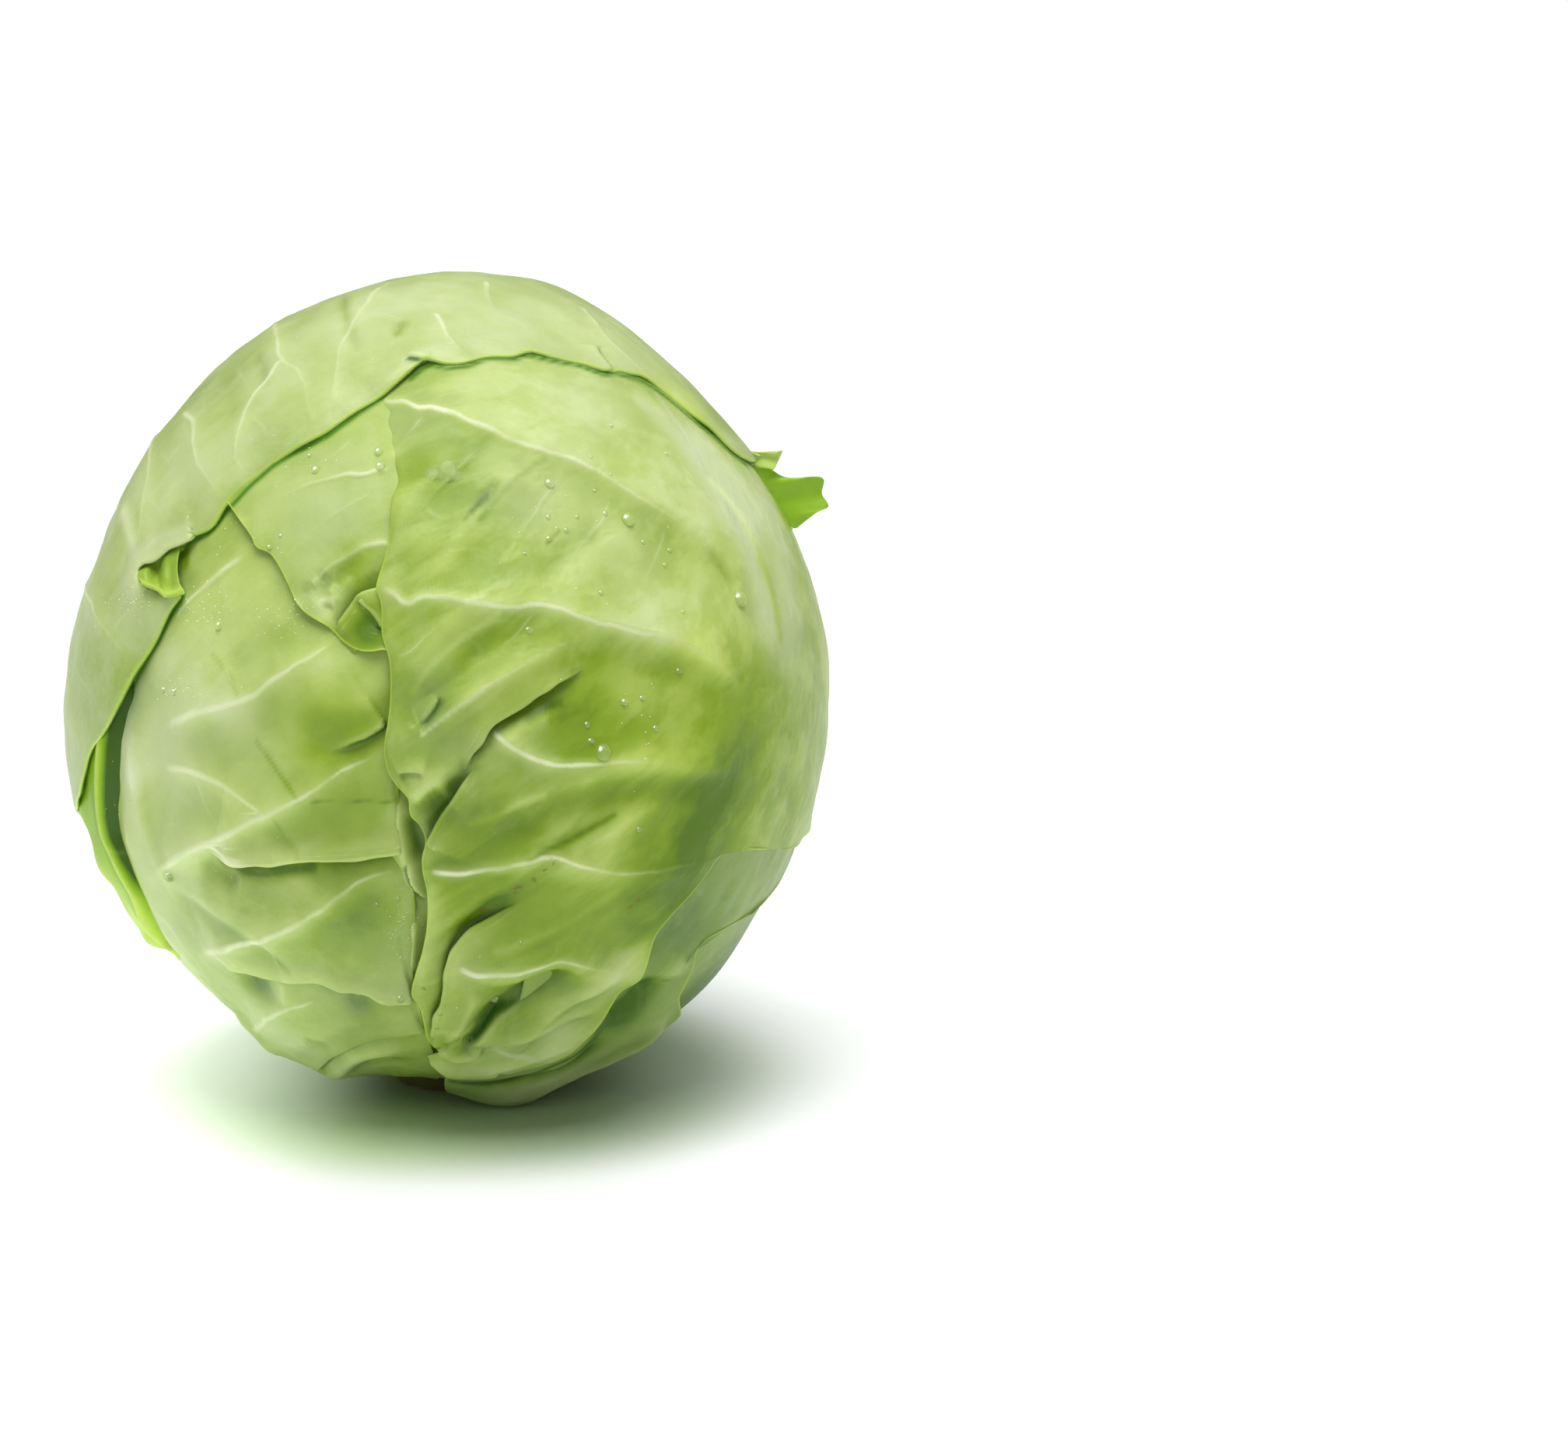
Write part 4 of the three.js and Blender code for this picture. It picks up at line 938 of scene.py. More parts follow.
        # painted light and shade: crests of the lift turn paler and valleys deeper in tone
        crest = self.lift - blurred(self.lift, self.CREST_CELLS)
        self.marks["tone"] += self.CREST_LIGHT_AND_SHADE * np.clip(crest, -0.9, 0.9)
        outward = head_radius(self.d) + self.rise
        outer = MIDDLE + self.d * (outward + self.lift)[..., None] + self.slide
        padded = np.pad(self.lift, 1, mode="edge")
        rows, columns = self.lift.shape
        lowest = np.min([padded[i:i + rows, k:k + columns] for i in range(3) for k in range(3)], 0)
        inner = MIDDLE + self.d * (outward + lowest - thickness)[..., None] + 0.5 * self.slide
        inner = inner[::2, ::2]
        outer[..., 2] = np.maximum(outer[..., 2], 0)
        inner[..., 2] = np.maximum(inner[..., 2], self.LEAST_HEIGHT)
        count = rows * columns
        grid = np.arange(count).reshape(rows, columns)
        faces = np.stack([grid[:-1, :-1], grid[:-1, 1:], grid[1:, 1:], grid[1:, :-1]], -1).reshape(-1, 4)
        below = np.arange(inner[..., 0].size).reshape(inner.shape[:2]) + count
        floor = np.stack([below[:-1, :-1], below[1:, :-1], below[1:, 1:], below[:-1, 1:]], -1)
        rim = np.r_[grid[0, :-1], grid[:-1, -1], grid[-1, :0:-1], grid[:0:-1, 0]]
        low = np.r_[below[0, :-1], below[:-1, -1], below[-1, :0:-1], below[:0:-1, 0]]
        walls = np.stack([rim[::2], low, np.roll(low, -1), np.roll(rim, -2)[::2], rim[1::2]], -1)
        every = faces.tolist() + floor.reshape(-1, 4).tolist() + walls.tolist()
        # the inner face takes the rim mark at -1: deep green painted shade with a faint glow
        inner_face_shade = {"rim": -1.0}
        marks = {key: np.r_[value.ravel(), inner_face_shade.get(key, 1.0) * value[::2, ::2].ravel()]
                 for key, value in self.marks.items()}
        points = np.vstack([outer.reshape(-1, 3), inner.reshape(-1, 3)])
        for pleat in self.pleats:
            self.strip(*pleat)
        for more, faces, more_marks in self.extras:
            every += (faces + len(points)).tolist()
            points = np.vstack([points, more])
            blank = np.zeros(len(more))
            marks = {key: np.r_[value, np.tile(more_marks[key].ravel(), 2)
                                if key in more_marks else blank]
                     for key, value in marks.items()}
        return make_object(name, points, every, material, marks)


def make_object(name, points, faces, material, marks=None):
    """A smooth-shaded mesh object at the origin, from points in mm and faces of equal length."""
    mesh = bpy.data.meshes.new(name)
    mesh.from_pydata(points * METRE, [], faces)
    for key, values in (marks or {}).items():
        mark = mesh.attributes.new(key, "FLOAT", "POINT")
        mark.data.foreach_set("value", values.astype(np.float32))
    mesh.shade_smooth()
    mesh.materials.append(material)
    piece = bpy.data.objects.new(name, mesh)
    bpy.context.scene.collection.objects.link(piece)
    return piece


def place(piece, node, slot):
    """Makes a piece stand for a node of the frame."""
    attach(piece, "root")
    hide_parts(node)


# ---------------------------------------------------------------- materials


def linear(hex_colour):
    """An sRGB hex colour as linear red, green, blue and 1."""
    srgb = [int(hex_colour[k:k + 2], 16) / 255 for k in (1, 3, 5)]
    return [c / 12.92 if c <= 0.04045 else ((c + 0.055) / 1.055) ** 2.4 for c in srgb] + [1.0]


class Nodes:
    """A node tree under construction, with one short call for each node."""

    def __init__(self, tree):
        self.tree = tree

    def add(self, kind, inputs=None, output=0, **settings):
        """Adds a node, sets its settings, and links or sets its inputs."""
        node = self.tree.nodes.new("ShaderNode" + kind)
        for key, value in settings.items():
            setattr(node, key, value)
        self.fill(node, inputs or {})
        return node.outputs[output]

    def fill(self, node, inputs):
        """Links the inputs that are sockets and sets the others."""
        for key, value in inputs.items():
            if isinstance(value, bpy.types.NodeSocket):
                self.tree.links.new(value, node.inputs[key])
            else:
                node.inputs[key].default_value = value

    def math(self, operation, a, b=0.0, clamp=False):
        return self.add("Math", {0: a, 1: b}, operation=operation, use_clamp=clamp)

    def times(self, a, b, clamp=False):
        return self.math("MULTIPLY", a, b, clamp)

    def plus(self, a, b, clamp=False):
        return self.math("ADD", a, b, clamp)

    def minus(self, a, b):
        return self.math("SUBTRACT", a, b)

    def span(self, value, low, high, at_low, at_high):
        """at_low at low and at_high at high, in a straight line between."""
        return self.add("MapRange", {0: value, 1: low, 2: high, 3: at_low, 4: at_high})

    def steps(self, value, low, high):
        """0 at low and 1 at high, smoothly between."""
        return self.add("MapRange", {0: value, 1: low, 2: high, 3: 0.0, 4: 1.0},
                        interpolation_type="SMOOTHSTEP")

    def mix(self, factor, a, b):
        """Colour a where the factor is 0 and b where it is 1."""
        return self.add("Mix", {0: factor, 6: a, 7: b}, output=2, data_type="RGBA")


class Recipe(Nodes):
    """A node material under construction, read at the object's own coordinates."""

    def __init__(self, name):
        self.material = bpy.data.materials.new(name)
        self.material.use_nodes = True
        super().__init__(self.material.node_tree)
        self.shader = self.tree.nodes["Principled BSDF"]

    def ramp(self, value, stops):
        """A colour from (place, colour) stops."""
        node = self.tree.nodes.new("ShaderNodeValToRGB")
        self.tree.links.new(value, node.inputs[0])
        elements = node.color_ramp.elements
        for k, (place_on_ramp, colour) in enumerate(stops):
            element = elements[k] if k < len(elements) else elements.new(place_on_ramp)
            element.position = place_on_ramp
            element.color = colour
        return node.outputs[0]

    def attribute(self, name):
        """The number that the mesh carries under a name."""
        return self.add("Attribute", output=2, attribute_name=name)

    def noise(self, size_mm, detail=2.0, roughness=0.5, vector=None):
        """Random mottling whose patches are about size_mm across."""
        inputs = {"Scale": 1 / (size_mm * METRE), "Detail": detail, "Roughness": roughness}
        inputs["Vector"] = vector or self.place_on_object()
        return self.add("TexNoise", inputs)

    def place_on_object(self):
        return self.add("TexCoord", output=3)


def leaf_material(name, greens, bloom_and_painted_light=0.12, vein_white=1.0, rough=0.36, grain=35.0, vein_spread=1.3,
                  shine=0.22, streaks=0.1):
    """Cabbage leaf: green that turns from deep to pale by the blade's painted tone, which holds both the
    leaf's own mottling and painted light and shade, by broad mottling and by streaks `grain` degrees
    up from level, a faint net of lesser veins, whitish ribs with a soft halo, grey wax bloom that is
    partly painted sheen and turns to a more vivid green where it is painted as shade, a painted
    highlight on pleat lips and painted shade under them, brown flecks where marked and a fresh green
    cut edge, with deep green painted shade under overlapping edges and on the inner face, which also
    glows faintly as painted light through the leaf. Satin wax over a slightly translucent blade."""
    look = bpy.context.scene.cabbage_look
    r = Recipe(name)
    turned = r.add("Mapping", {
        "Vector": r.place_on_object(), "Rotation": (0.0, -math.radians(grain), 0.0),
        "Scale": (5.0, 1.0, 1.0)}, vector_type="TEXTURE")
    broad = r.noise(34, 3.0, 0.55)
    small = r.noise(9, 6.0, 0.7)
    streak = r.steps(r.noise(8, 3.0, 0.6, turned), 0.4, 0.62)
    tone = r.plus(r.attribute("tone"), r.times(r.minus(broad, 0.5), 0.7))
    tone = r.plus(tone, r.times(r.minus(small, 0.5), 0.5))
    tone = r.plus(tone, r.times(r.minus(streak, 0.5), streaks))
    tone = r.add("Math", {0: tone, 1: 0.5, 2: 0.5}, operation="MULTIPLY_ADD")
    stops = zip((0.0, 0.36, 0.66, 1.0), greens)
    colour = r.ramp(tone, [(where, linear(green)) for where, green in stops])

    drift = r.add("TexNoise", {"Vector": r.place_on_object(), "Scale": 110.0}, output=1)
    drift = r.add("VectorMath", {0: drift, "Scale": 0.006}, operation="SCALE")
    wander = r.add("VectorMath", {0: r.place_on_object(), 1: drift}, operation="ADD")
    net = r.add("TexVoronoi", {"Vector": wander, "Scale": 105.0}, feature="DISTANCE_TO_EDGE")
    net_line = r.minus(1.0, r.steps(net, 0.0, 0.09))
    net_mask = r.steps(r.noise(14, 2.0), 0.5, 0.75)
    net_line = r.times(net_line, net_mask)
    colour = r.mix(r.times(net_line, 0.1), colour, linear("#d3e29c"))

    # wax bloom and painted light: above 0 a grey white that is partly random wax and partly painted
    # sheen and highlight; below 0 a more vivid green, mostly painted shade
    wax_and_painted_light = r.times(r.steps(r.noise(20, 6.0, 0.7), 0.42, 0.66), bloom_and_painted_light)
    wax_and_painted_light = r.plus(wax_and_painted_light, r.attribute("bloom_and_painted_light"))
    vivid = r.times(wax_and_painted_light, -1.0, clamp=True)
    wax_and_painted_light = r.math("MAXIMUM", wax_and_painted_light, 0.0)
    colour = r.mix(wax_and_painted_light, colour, linear("#c3d0a4"))
    pure = r.add("VectorMath", {0: colour, 1: (1.0, 1.05, 0.2)}, operation="MULTIPLY")
    colour = r.mix(vivid, colour, pure)

    def ribs(kind, width, halo):
        side = r.math("ABSOLUTE", r.attribute(kind + "_side"))
        near = r.attribute(kind + "_near")
        inside = r.steps(near, 0.08, 0.5)
        line = r.times(r.minus(1.0, r.steps(side, width * 0.15, width)), inside)
        glow = r.times(r.minus(1.0, r.steps(side, 0.0, halo)), inside)
        return r.times(line, near), r.times(glow, near)

    patchy = r.span(r.noise(10, 3.0), 0.34, 0.6, 0.3, 1.0)
    line, glow = ribs("vein", look.vein_width * vein_spread, look.vein_width * 3.2 * vein_spread)
    twig, twig_glow = ribs("twig", look.vein_width * 0.45, look.vein_width * 2)
    white = linear(bpy_hex(look.vein_colour))
    colour = r.mix(r.times(glow, 0.38 * vein_white), colour, linear("#c5d68a"))
    line = r.times(line, patchy)
    colour = r.mix(r.times(line, 0.9 * vein_white, clamp=True), colour, white)
    twig = r.plus(r.times(twig, patchy), r.times(twig_glow, 0.4), clamp=True)
    colour = r.mix(r.times(twig, 0.3 * vein_white), colour, white)

    # painted highlight on a pleat's lip, and painted shade in the crease under it
    side, near = r.attribute("fold_side"), r.attribute("fold_near")
    lip = r.times(r.steps(side, 0.2, 0.6), r.minus(1.0, r.steps(side, 0.7, 1.8)))
    lip = r.times(lip, near)
    crease_shade = r.times(r.steps(side, -1.8, -0.3), r.minus(1.0, r.steps(side, -0.1, 0.4)))
    crease_shade = r.times(crease_shade, near)
    colour = r.mix(r.times(lip, 0.3, clamp=True), colour, linear("#d2e08f"))
    colour = r.mix(r.times(crease_shade, 0.85, clamp=True), colour, linear("#35600f"))
    fleck = r.times(r.attribute("fleck"), r.steps(r.noise(1.1, 3.0, 0.7), 0.45, 0.6), clamp=True)
    colour = r.mix(fleck, colour, linear("#6b5a24"))
    # a pale cut edge where the rim mark is above 0; below 0, deep green painted shade under overlapping
    # edges and on the inner face
    colour = r.mix(r.times(r.attribute("rim"), 0.85, clamp=True), colour, linear("#b9d84a"))
    painted_shade_and_glow = r.times(r.attribute("rim"), -1.4, clamp=True)
    colour = r.mix(painted_shade_and_glow, colour, linear("#40720a"))

    relief = r.plus(r.times(net_line, 0.15), r.times(streak, 3 * streaks))
    relief = r.plus(relief, r.times(r.noise(2.6, 5.0, 0.62), 0.8))
    bump = r.add("Bump", {"Strength": 0.4, "Distance": 0.0004, "Height": relief})
    r.fill(r.shader, {
        "Base Color": colour,
        "Roughness": r.span(wax_and_painted_light, 0.0, 0.7, rough, rough + 0.16),
        "Normal": bump,
        "Subsurface Weight": 0.1,
        "Subsurface Scale": 0.0012,
        # a faint green glow in the painted shade, as painted light through the leaf
        "Emission Color": linear("#6aa812"),
        "Emission Strength": r.times(painted_shade_and_glow, 0.13),
        "Specular IOR Level": shine,
    })
    r.shader.inputs["Subsurface Radius"].default_value = (0.7, 1.0, 0.25)
    return r.material


def bpy_hex(colour):
    """A colour property (sRGB shares) as a hex string."""
    return "#" + "".join(f"{round(c * 255):02x}" for c in colour)


def water_material():
    """Clear water on a leaf: nearly see-through in the middle, a thin deeper green ring low on each
    drop, painted as the shade where it bends the green, and a painted white glint, which also glows,
    where it faces GLINT_FROM."""
    r = Recipe("clear_water")
    glint, ring = r.attribute("glint"), r.attribute("ring")
    tint = r.mix(ring, linear("#d3e59a"), linear("#6d8f38"))
    shown = r.plus(r.times(ring, 0.5), glint, clamp=True)
    r.fill(r.shader, {
        "Base Color": r.mix(glint, tint, linear("#ffffff")), "Roughness": 0.05,
        "Alpha": r.span(shown, 0.0, 1.0, 0.22, 1.0),
        "Emission Color": linear("#ffffff"), "Emission Strength": r.times(glint, 0.5),
        "Specular IOR Level": 0.5,
    })
    return r.material


def stalk_material():
    """Cut stalk: tan fibrous flesh dried brown on the cut, painted deep olive low on the side as shade
    under the head, and greener and smoother further up the side.
    """
    look = bpy.context.scene.cabbage_look
    r = Recipe("cut_cabbage_stalk")
    fibres = r.noise(1.1, 4.0, 0.7)
    blotch = r.noise(6, 3.0, 0.6)
    colour = r.ramp(r.plus(r.times(fibres, 0.55), r.times(blotch, 0.45)), [
        (0.2, linear("#7c5a34")), (0.5, linear(bpy_hex(look.stalk_colour))),
        (0.85, linear("#dccfa0"))])
    height = r.add("SeparateXYZ", {0: r.place_on_object()}, output=2)
    # painted shade: deep olive on the side above the cut, under the head
    colour = r.mix(r.steps(height, 0.0002, 0.0008), colour, linear("#66602f"))
    colour = r.mix(r.steps(height, 0.004, 0.009), colour, linear("#b9c48a"))
    bump = r.add("Bump", {"Strength": 0.6, "Distance": 0.0006, "Height": fibres})
    r.fill(r.shader, {"Base Color": colour, "Roughness": 0.75, "Normal": bump})
    return r.material


def heart_material():
    """Heart leaves, glimpsed between the bases of the outer ones: pale yellow-green, satin."""
    r = Recipe("heart_leaf_pale")
    colour = r.ramp(r.noise(9, 4.0, 0.6), [(0.3, linear("#b9cb78")), (0.7, linear("#e3e9b4"))])
    bump = r.add("Bump", {"Strength": 0.4, "Distance": 0.0005, "Height": r.noise(2.5, 3.0)})
    r.fill(r.shader, {"Base Color": colour, "Roughness": 0.5, "Normal": bump})
    return r.material


def floor_material():
    """White sheet, faintly mint round the head's foot as painted green bounce light, deeper to the right
    of it as a painted shadow, with a painted glow of its own to the left and right that keeps the
    shadow's outskirts pale."""
    r = Recipe("white_paper_sweep")
    away = r.add("VectorMath", {0: r.place_on_object()}, output=1, operation="LENGTH")
    across = r.add("SeparateXYZ", {0: r.place_on_object()})
    # painted light and shadow: green bounce round the foot, and a painted shadow deeper to the right
    foot = r.mix(r.steps(across, -0.02, 0.03), linear("#dcf0c8"), linear("#bccdb2"))
    colour = r.mix(r.steps(away, 0.055, 0.09), foot, linear("#f2f4f4"))
    colour = r.mix(r.steps(away, 0.12, 0.2), colour, linear("#fbfefd"))
    # painted glow, not a lamp, that lightens the shadow's outskirts to the left and right
    lit = r.times(r.steps(r.times(across, -1.0), 0.01, 0.075), 0.74)
    lit = r.plus(lit, r.times(r.steps(across, 0.03, 0.08), 0.2))
    lit = r.times(lit, r.minus(1.0, r.steps(away, 0.13, 0.2)))
    r.fill(r.shader, {"Base Color": colour, "Roughness": 0.9, "Specular IOR Level": 0.1,
                      "Emission Color": linear("#eef1f4"), "Emission Strength": lit})
    return r.material


# ---------------------------------------------------------------- the pieces


def draw(blade, veins, twigs, ridges=(), folds=(), height=0.5, width=1.1, seed=0, start=0.05):
    """Shapes a blade from lines of pixels: broad ridges, main veins, lesser veins and pleats."""
    for line, *sizes in ridges:
        blade.ridge(blade.seen(*line), *sizes)
    for k, points in enumerate(veins.values()):
        blade.vein(blade.seen(*points), height, width, start=start, wriggle=0.16, seed=seed + k)
    for k, points in enumerate(twigs.values()):
        blade.vein(blade.seen(*points), 0.3 * height, 0.6 * width, 0.7, "twig", 0.3, 0.2,
                   seed + 40 + k)
    for line, *sizes in folds:
        blade.fold(blade.seen(*line), *sizes)


def margin(blade, distance, lift, reach, waves=0.0, wave_length=16.0, seed=1, cut=0.5):
    """Lifts a blade's edge (or rolls it in, if lift is below 0) as the square of the nearness to
    the edge, with a random waviness along it, and marks the cut edge itself."""
    nearness = np.clip(1 - distance / reach, 0, 1) ** 2
    wander = unevenness(blade.ground, wave_length, seed)
    blade.lift += nearness * (lift + waves * wander)
    blade.marks["rim"] = np.maximum(blade.marks["rim"], np.clip(1 - distance / cut, 0, 1))


def shade_under_cap(blade, first, last):
    """Deep clear green along a stretch of the cap's front margin, where its edge shades a leaf."""
    line = [(x + (3 if x < 600 else -3), y + 4) for x, y in CAP_FRONT_MARGIN if first <= x <= last]
    blade.stroke(blade.seen(*line), 0.8, -0.75, "rim")


def speckle(blade, pixels):
    """Small brown flecks round the pixels."""
    for pixel in pixels:
        blade.paint(blade.seen(pixel)[0], 0.9, 0.8, "fleck")


def swell_spots(blade, spots):
    """Round swellings, or hollows below 0, one after the other: pixel, reach and height in mm."""
    for pixel, reach, height in spots:
        blade.swell(blade.seen(pixel)[0], reach, height)


def rumple(blade, *waves):
    """Adds seeded unevenness to a blade's lift: height and wavelength in mm, and seed, of each."""
    blade.lift += sum(height * unevenness(blade.ground, size, seed) for height, size, seed in waves)


def midrib(blade, height, half_width):
    """A rib up the blade's middle, strongest near the stalk and gone before the tip."""
    rib = np.clip(1 - np.abs(blade.u - 0.5) / half_width, 0, 1) * smoothstep(blade.v, -0.06, 0.2)
    blade.lift += height * rib * np.clip(1 - 1.1 * blade.v, 0, 1)


def stroke_lines(blade, lines, mark="tone"):
    """Soft stripes along lines of pixels: points, reach in mm, amount."""
    for line, reach, amount in lines:
        blade.stroke(blade.seen(*line), reach, amount, mark)


def paint_spots(blade, spots, mark="tone"):
    """Soft patches of paler or deeper green, or of wax bloom, that are partly painted light and shade:
    pixel, reach in mm, amount.
    """
    for pixel, reach, amount in spots:
        blade.paint(blade.seen(pixel)[0], reach, amount, mark)


def right_leaf(look):
    seam = seen(*RIGHT_SEAM)
    blade = Blade(
        RISE["right"],
        [np.vstack([at((4, -79.3)), seam, at((-14, 70))]),
         np.vstack([at((10, -79.3)), seen((632, 1368), (690, 1276), (730, 1145), (752, 974), (752, 774),
                                          (730, 574)), at((30, 74))]),
         np.vstack([at((20, -79.3)), seen(*RIGHT_LOWER_MARGIN),
                    at((92, -20), (108, 5), (108, 30), (95, 52))])],
        rows=284, columns=240, across=((0, 1.5), (0.15, 1.2), (0.6, 1), (0.8, 0.6), (1, 0.5)),
        upward=((0, 1.2), (0.5, 1), (0.85, 0.9), (1, 0.5)))
    blade.vein_fade = 0.7
    draw(blade, RIGHT_VEINS, RIGHT_TWIGS, RIGHT_RIDGES, RIGHT_FOLDS, seed=100)
    blade.swell(blade.seen((486, 752))[0], 4, 0.9)
    rumple(blade, (0.22, 20, 5), (0.1, 7, 6))
    # the upper left stretch of the margin sinks until it is flush with the leaf beside it
    flush = smoothstep(blade.d[..., 2], 0.55, 0.68) * np.clip(1 - blade.from_left / 14, 0, 1)
    blade.lift -= 1.75 * flush * flush * (3 - 2 * flush)
    margin(blade, blade.from_left, -0.9, 2.6, 0.25, 9, 3)
    blade.marks["rim"] *= 1 - smoothstep(blade.d[..., 2], 0.5, 0.6)
    margin(blade, blade.from_right, 0.2, 7, 0.4, 14, 4)
    swell_spots(blade, RIGHT_BASE_SWELLS)
    paint_spots(blade, RIGHT_SPOTS)
    paint_spots(blade, RIGHT_BLOOM_AND_PAINTED_LIGHT, "bloom_and_painted_light")
    stroke_lines(blade, RIGHT_STREAKS_AND_SHADE)
    stroke_lines(blade, RIGHT_WAX_AND_PAINTED_LIGHT, "bloom_and_painted_light")
    shade_under_cap(blade, 495, 965)
    speckle(blade, [(612, 1181), (620, 1172), (630, 1166), (660, 1146), (668, 1142), (688, 1130),
                    (700, 1120), (711, 1109), (812, 1168), (822, 1158), (833, 1151), (866, 1164),
                    (872, 1146), (540, 1350), (546, 1270)])
    return blade.build("right_leaf_blade", look.leaf_thickness,
                       leaf_material("front_leaf_right", RIGHT_GREENS, streaks=0.24))


def left_leaf(look):
    blade = Blade(
        RISE["left"],
        [at((-100, -78), (-112, -55), (-116, -25), (-112, 5), (-104, 35), (-90, 58)),
         at((-55, -78), (-54, -55), (-54, -25), (-54, 5), (-56, 35), (-60, 62)),
         np.vstack([at((-12, -78)), seen(*LEFT_SEAM), at((-26, 66))])],
        rows=280, columns=224, across=((0, 0.4), (0.3, 0.7), (0.5, 1.1), (1, 1.3)),
        upward=((0, 1), (0.7, 1), (0.85, 0.8), (1, 0.4)))
    blade.vein_fade = 0.2
    draw(blade, LEFT_VEINS, LEFT_TWIGS, LEFT_RIDGES, LEFT_FOLDS, seed=200, start=0.3)
    swell_spots(blade, LEFT_SWELLS)
    rumple(blade, (0.2, 20, 11), (0.1, 7, 13))
    margin(blade, blade.from_right, -0.3, 3, 0.2, 9, 12)
    paint_spots(blade, LEFT_SPOTS)
    paint_spots(blade, LEFT_BLOOM_AND_PAINTED_LIGHT, "bloom_and_painted_light")
    stroke_lines(blade, LEFT_STREAKS_AND_SHADE)
    # a pale border along the outer leaf's margin: partly whitish wax, partly painted light
    border = blade.seen((172, 880), (160, 930), (158, 990), (166, 1060), (186, 1120), (215, 1190),
                        (262, 1262))
    blade.stroke(border, 4, 0.35, "bloom_and_painted_light")
    blade.stroke(border, 4, 0.3)
    # painted shade: a more vivid green under the long pleat's lip and beside the cap's pocket
    for line in ([(290, 1109), (315, 1118), (345, 1121), (375, 1119), (402, 1116), (440, 1112)],
                 [(240, 704), (239, 714), (238, 726)]):
        blade.stroke(blade.seen(*line), 1.4, -0.8, "bloom_and_painted_light")
    shade_under_cap(blade, 120, 300)
    speckle(blade, [(452, 1086), (462, 1090), (471, 1096), (331, 1258)])
    return blade.build("left_leaf_blade", look.leaf_thickness,
                       leaf_material("front_leaf_left", LEFT_GREENS, vein_spread=1.9, vein_white=0.85,
                                     shine=0.35))


def middle_leaf(look):
    blade = Blade(
        RISE["middle"],
        [np.vstack([seen((545, 860), *MIDDLE_MARGIN, rise=RISE["middle"]), at((-62, 42), (-60, 55))]),
         np.vstack([seen((558, 808), (518, 751), (461, 677), (392, 602)), at((-45, 60))]),
         np.vstack([seen((598, 774), (575, 660), (552, 557), (529, 488)), at((-12, 68))])],
        rows=190, columns=150, across=((0, 1.8), (0.4, 1), (1, 0.5)),
        upward=((0, 0.8), (0.5, 1.2), (1, 0.8)))
    draw(blade, {
        "M1": [(500, 700), (484, 700), (466, 704), (445, 716), (425, 728), (405, 744), (388, 760)],
        "M2": [(498, 602), (470, 609), (440, 611), (412, 618), (385, 628), (360, 640)],
    }, {
        "N1": [(489, 620), (470, 637), (440, 655), (410, 676), (380, 700)],
        "N2": [(430, 726), (428, 742), (436, 760)],
        "N3": [(455, 560), (430, 585), (400, 600)],
    }, MIDDLE_RIDGES, MIDDLE_FOLDS, 0.35, 0.9, 300)
    swell_spots(blade, MIDDLE_SWELLS)
    rumple(blade, (0.15, 12, 21), (0.1, 5, 23))
    margin(blade, blade.from_left, 0.1, 2.6, 0.4, 8, 22)
    shade_under_cap(blade, 290, 500)
    paint_spots(blade, MIDDLE_SPOTS)
    paint_spots(blade, MIDDLE_BLOOM_AND_PAINTED_LIGHT, "bloom_and_painted_light")
    return blade.build("middle_leaf_blade", look.leaf_thickness,
                       leaf_material("front_leaf_middle", MIDDLE_GREENS, 0.2, 0.6))


def cap_front_margin():
    """Directions of the cap's front margin, which lies low on the left and high on the right."""
    low_to_high = np.interp([x for x, _ in CAP_FRONT_MARGIN], (130, 180, 230, 300, 350, 450, 600),
                            (1.2, -1.3, -2.1, -1.7, -1.1, -0.9, 0.5))
    return seen(*CAP_FRONT_MARGIN, rise=low_to_high)


def cap_leaf(look):
    blade = Blade(
        RISE["cap"],
        [at((172, -78.5), (160, -50), (146, -22), (134, -2), (120, 12), (104, 22), (97, 30)),
         at((-168, -78.5), (-158, -40), (-158, 0), (-162, 40), (170, 72), (118, 70), (100, 44)),
         np.vstack([at((-126, -78.5), (-112, -58), (-98, -38), (-88, -20)), cap_front_margin(),
                    at((96, 37))])],
        rows=400, columns=178, across=((0, 0.4), (0.5, 0.5), (0.8, 1.2), (1, 2.4)),
        upward=((0, 0.5), (0.3, 0.8), (0.45, 1.3), (1, 1.2)))
    draw(blade, CAP_VEINS, CAP_TWIGS, CAP_RIDGES, height=0.3, width=0.9, seed=400)
    blade.patch(CAP_POCKET, POCKET_TONES, POCKET_RIMS)
    blade.swell(blade.seen((203, 738))[0], 4.5, -2.8)
    draw(blade, {}, {}, folds=CAP_FOLDS)
    midrib(blade, 2.2, 0.06)
    rumple(blade, (0.3, 24, 31), (0.12, 8, 34))
    front = smoothstep(blade.v, 0.2, 0.3)
    margin(blade, blade.from_right + 50 * (1 - front), -0.35, 3, 0.2, 9, 32, 0.9)
    margin(blade, blade.from_left, 0.8, 12, 1.2, 18, 33)
    blade.swell(at((104, 23))[0], 9, -3.4)
    paint_spots(blade, CAP_SPOTS)
    blade.paint(blade.seen((878, 518))[0], 7, -0.7, "bloom_and_painted_light")
    return blade.build("cap_leaf_blade", look.leaf_thickness,
                       leaf_material("cap_leaf_waxy", CAP_GREENS, 0.4, 0.7, shine=0.4))


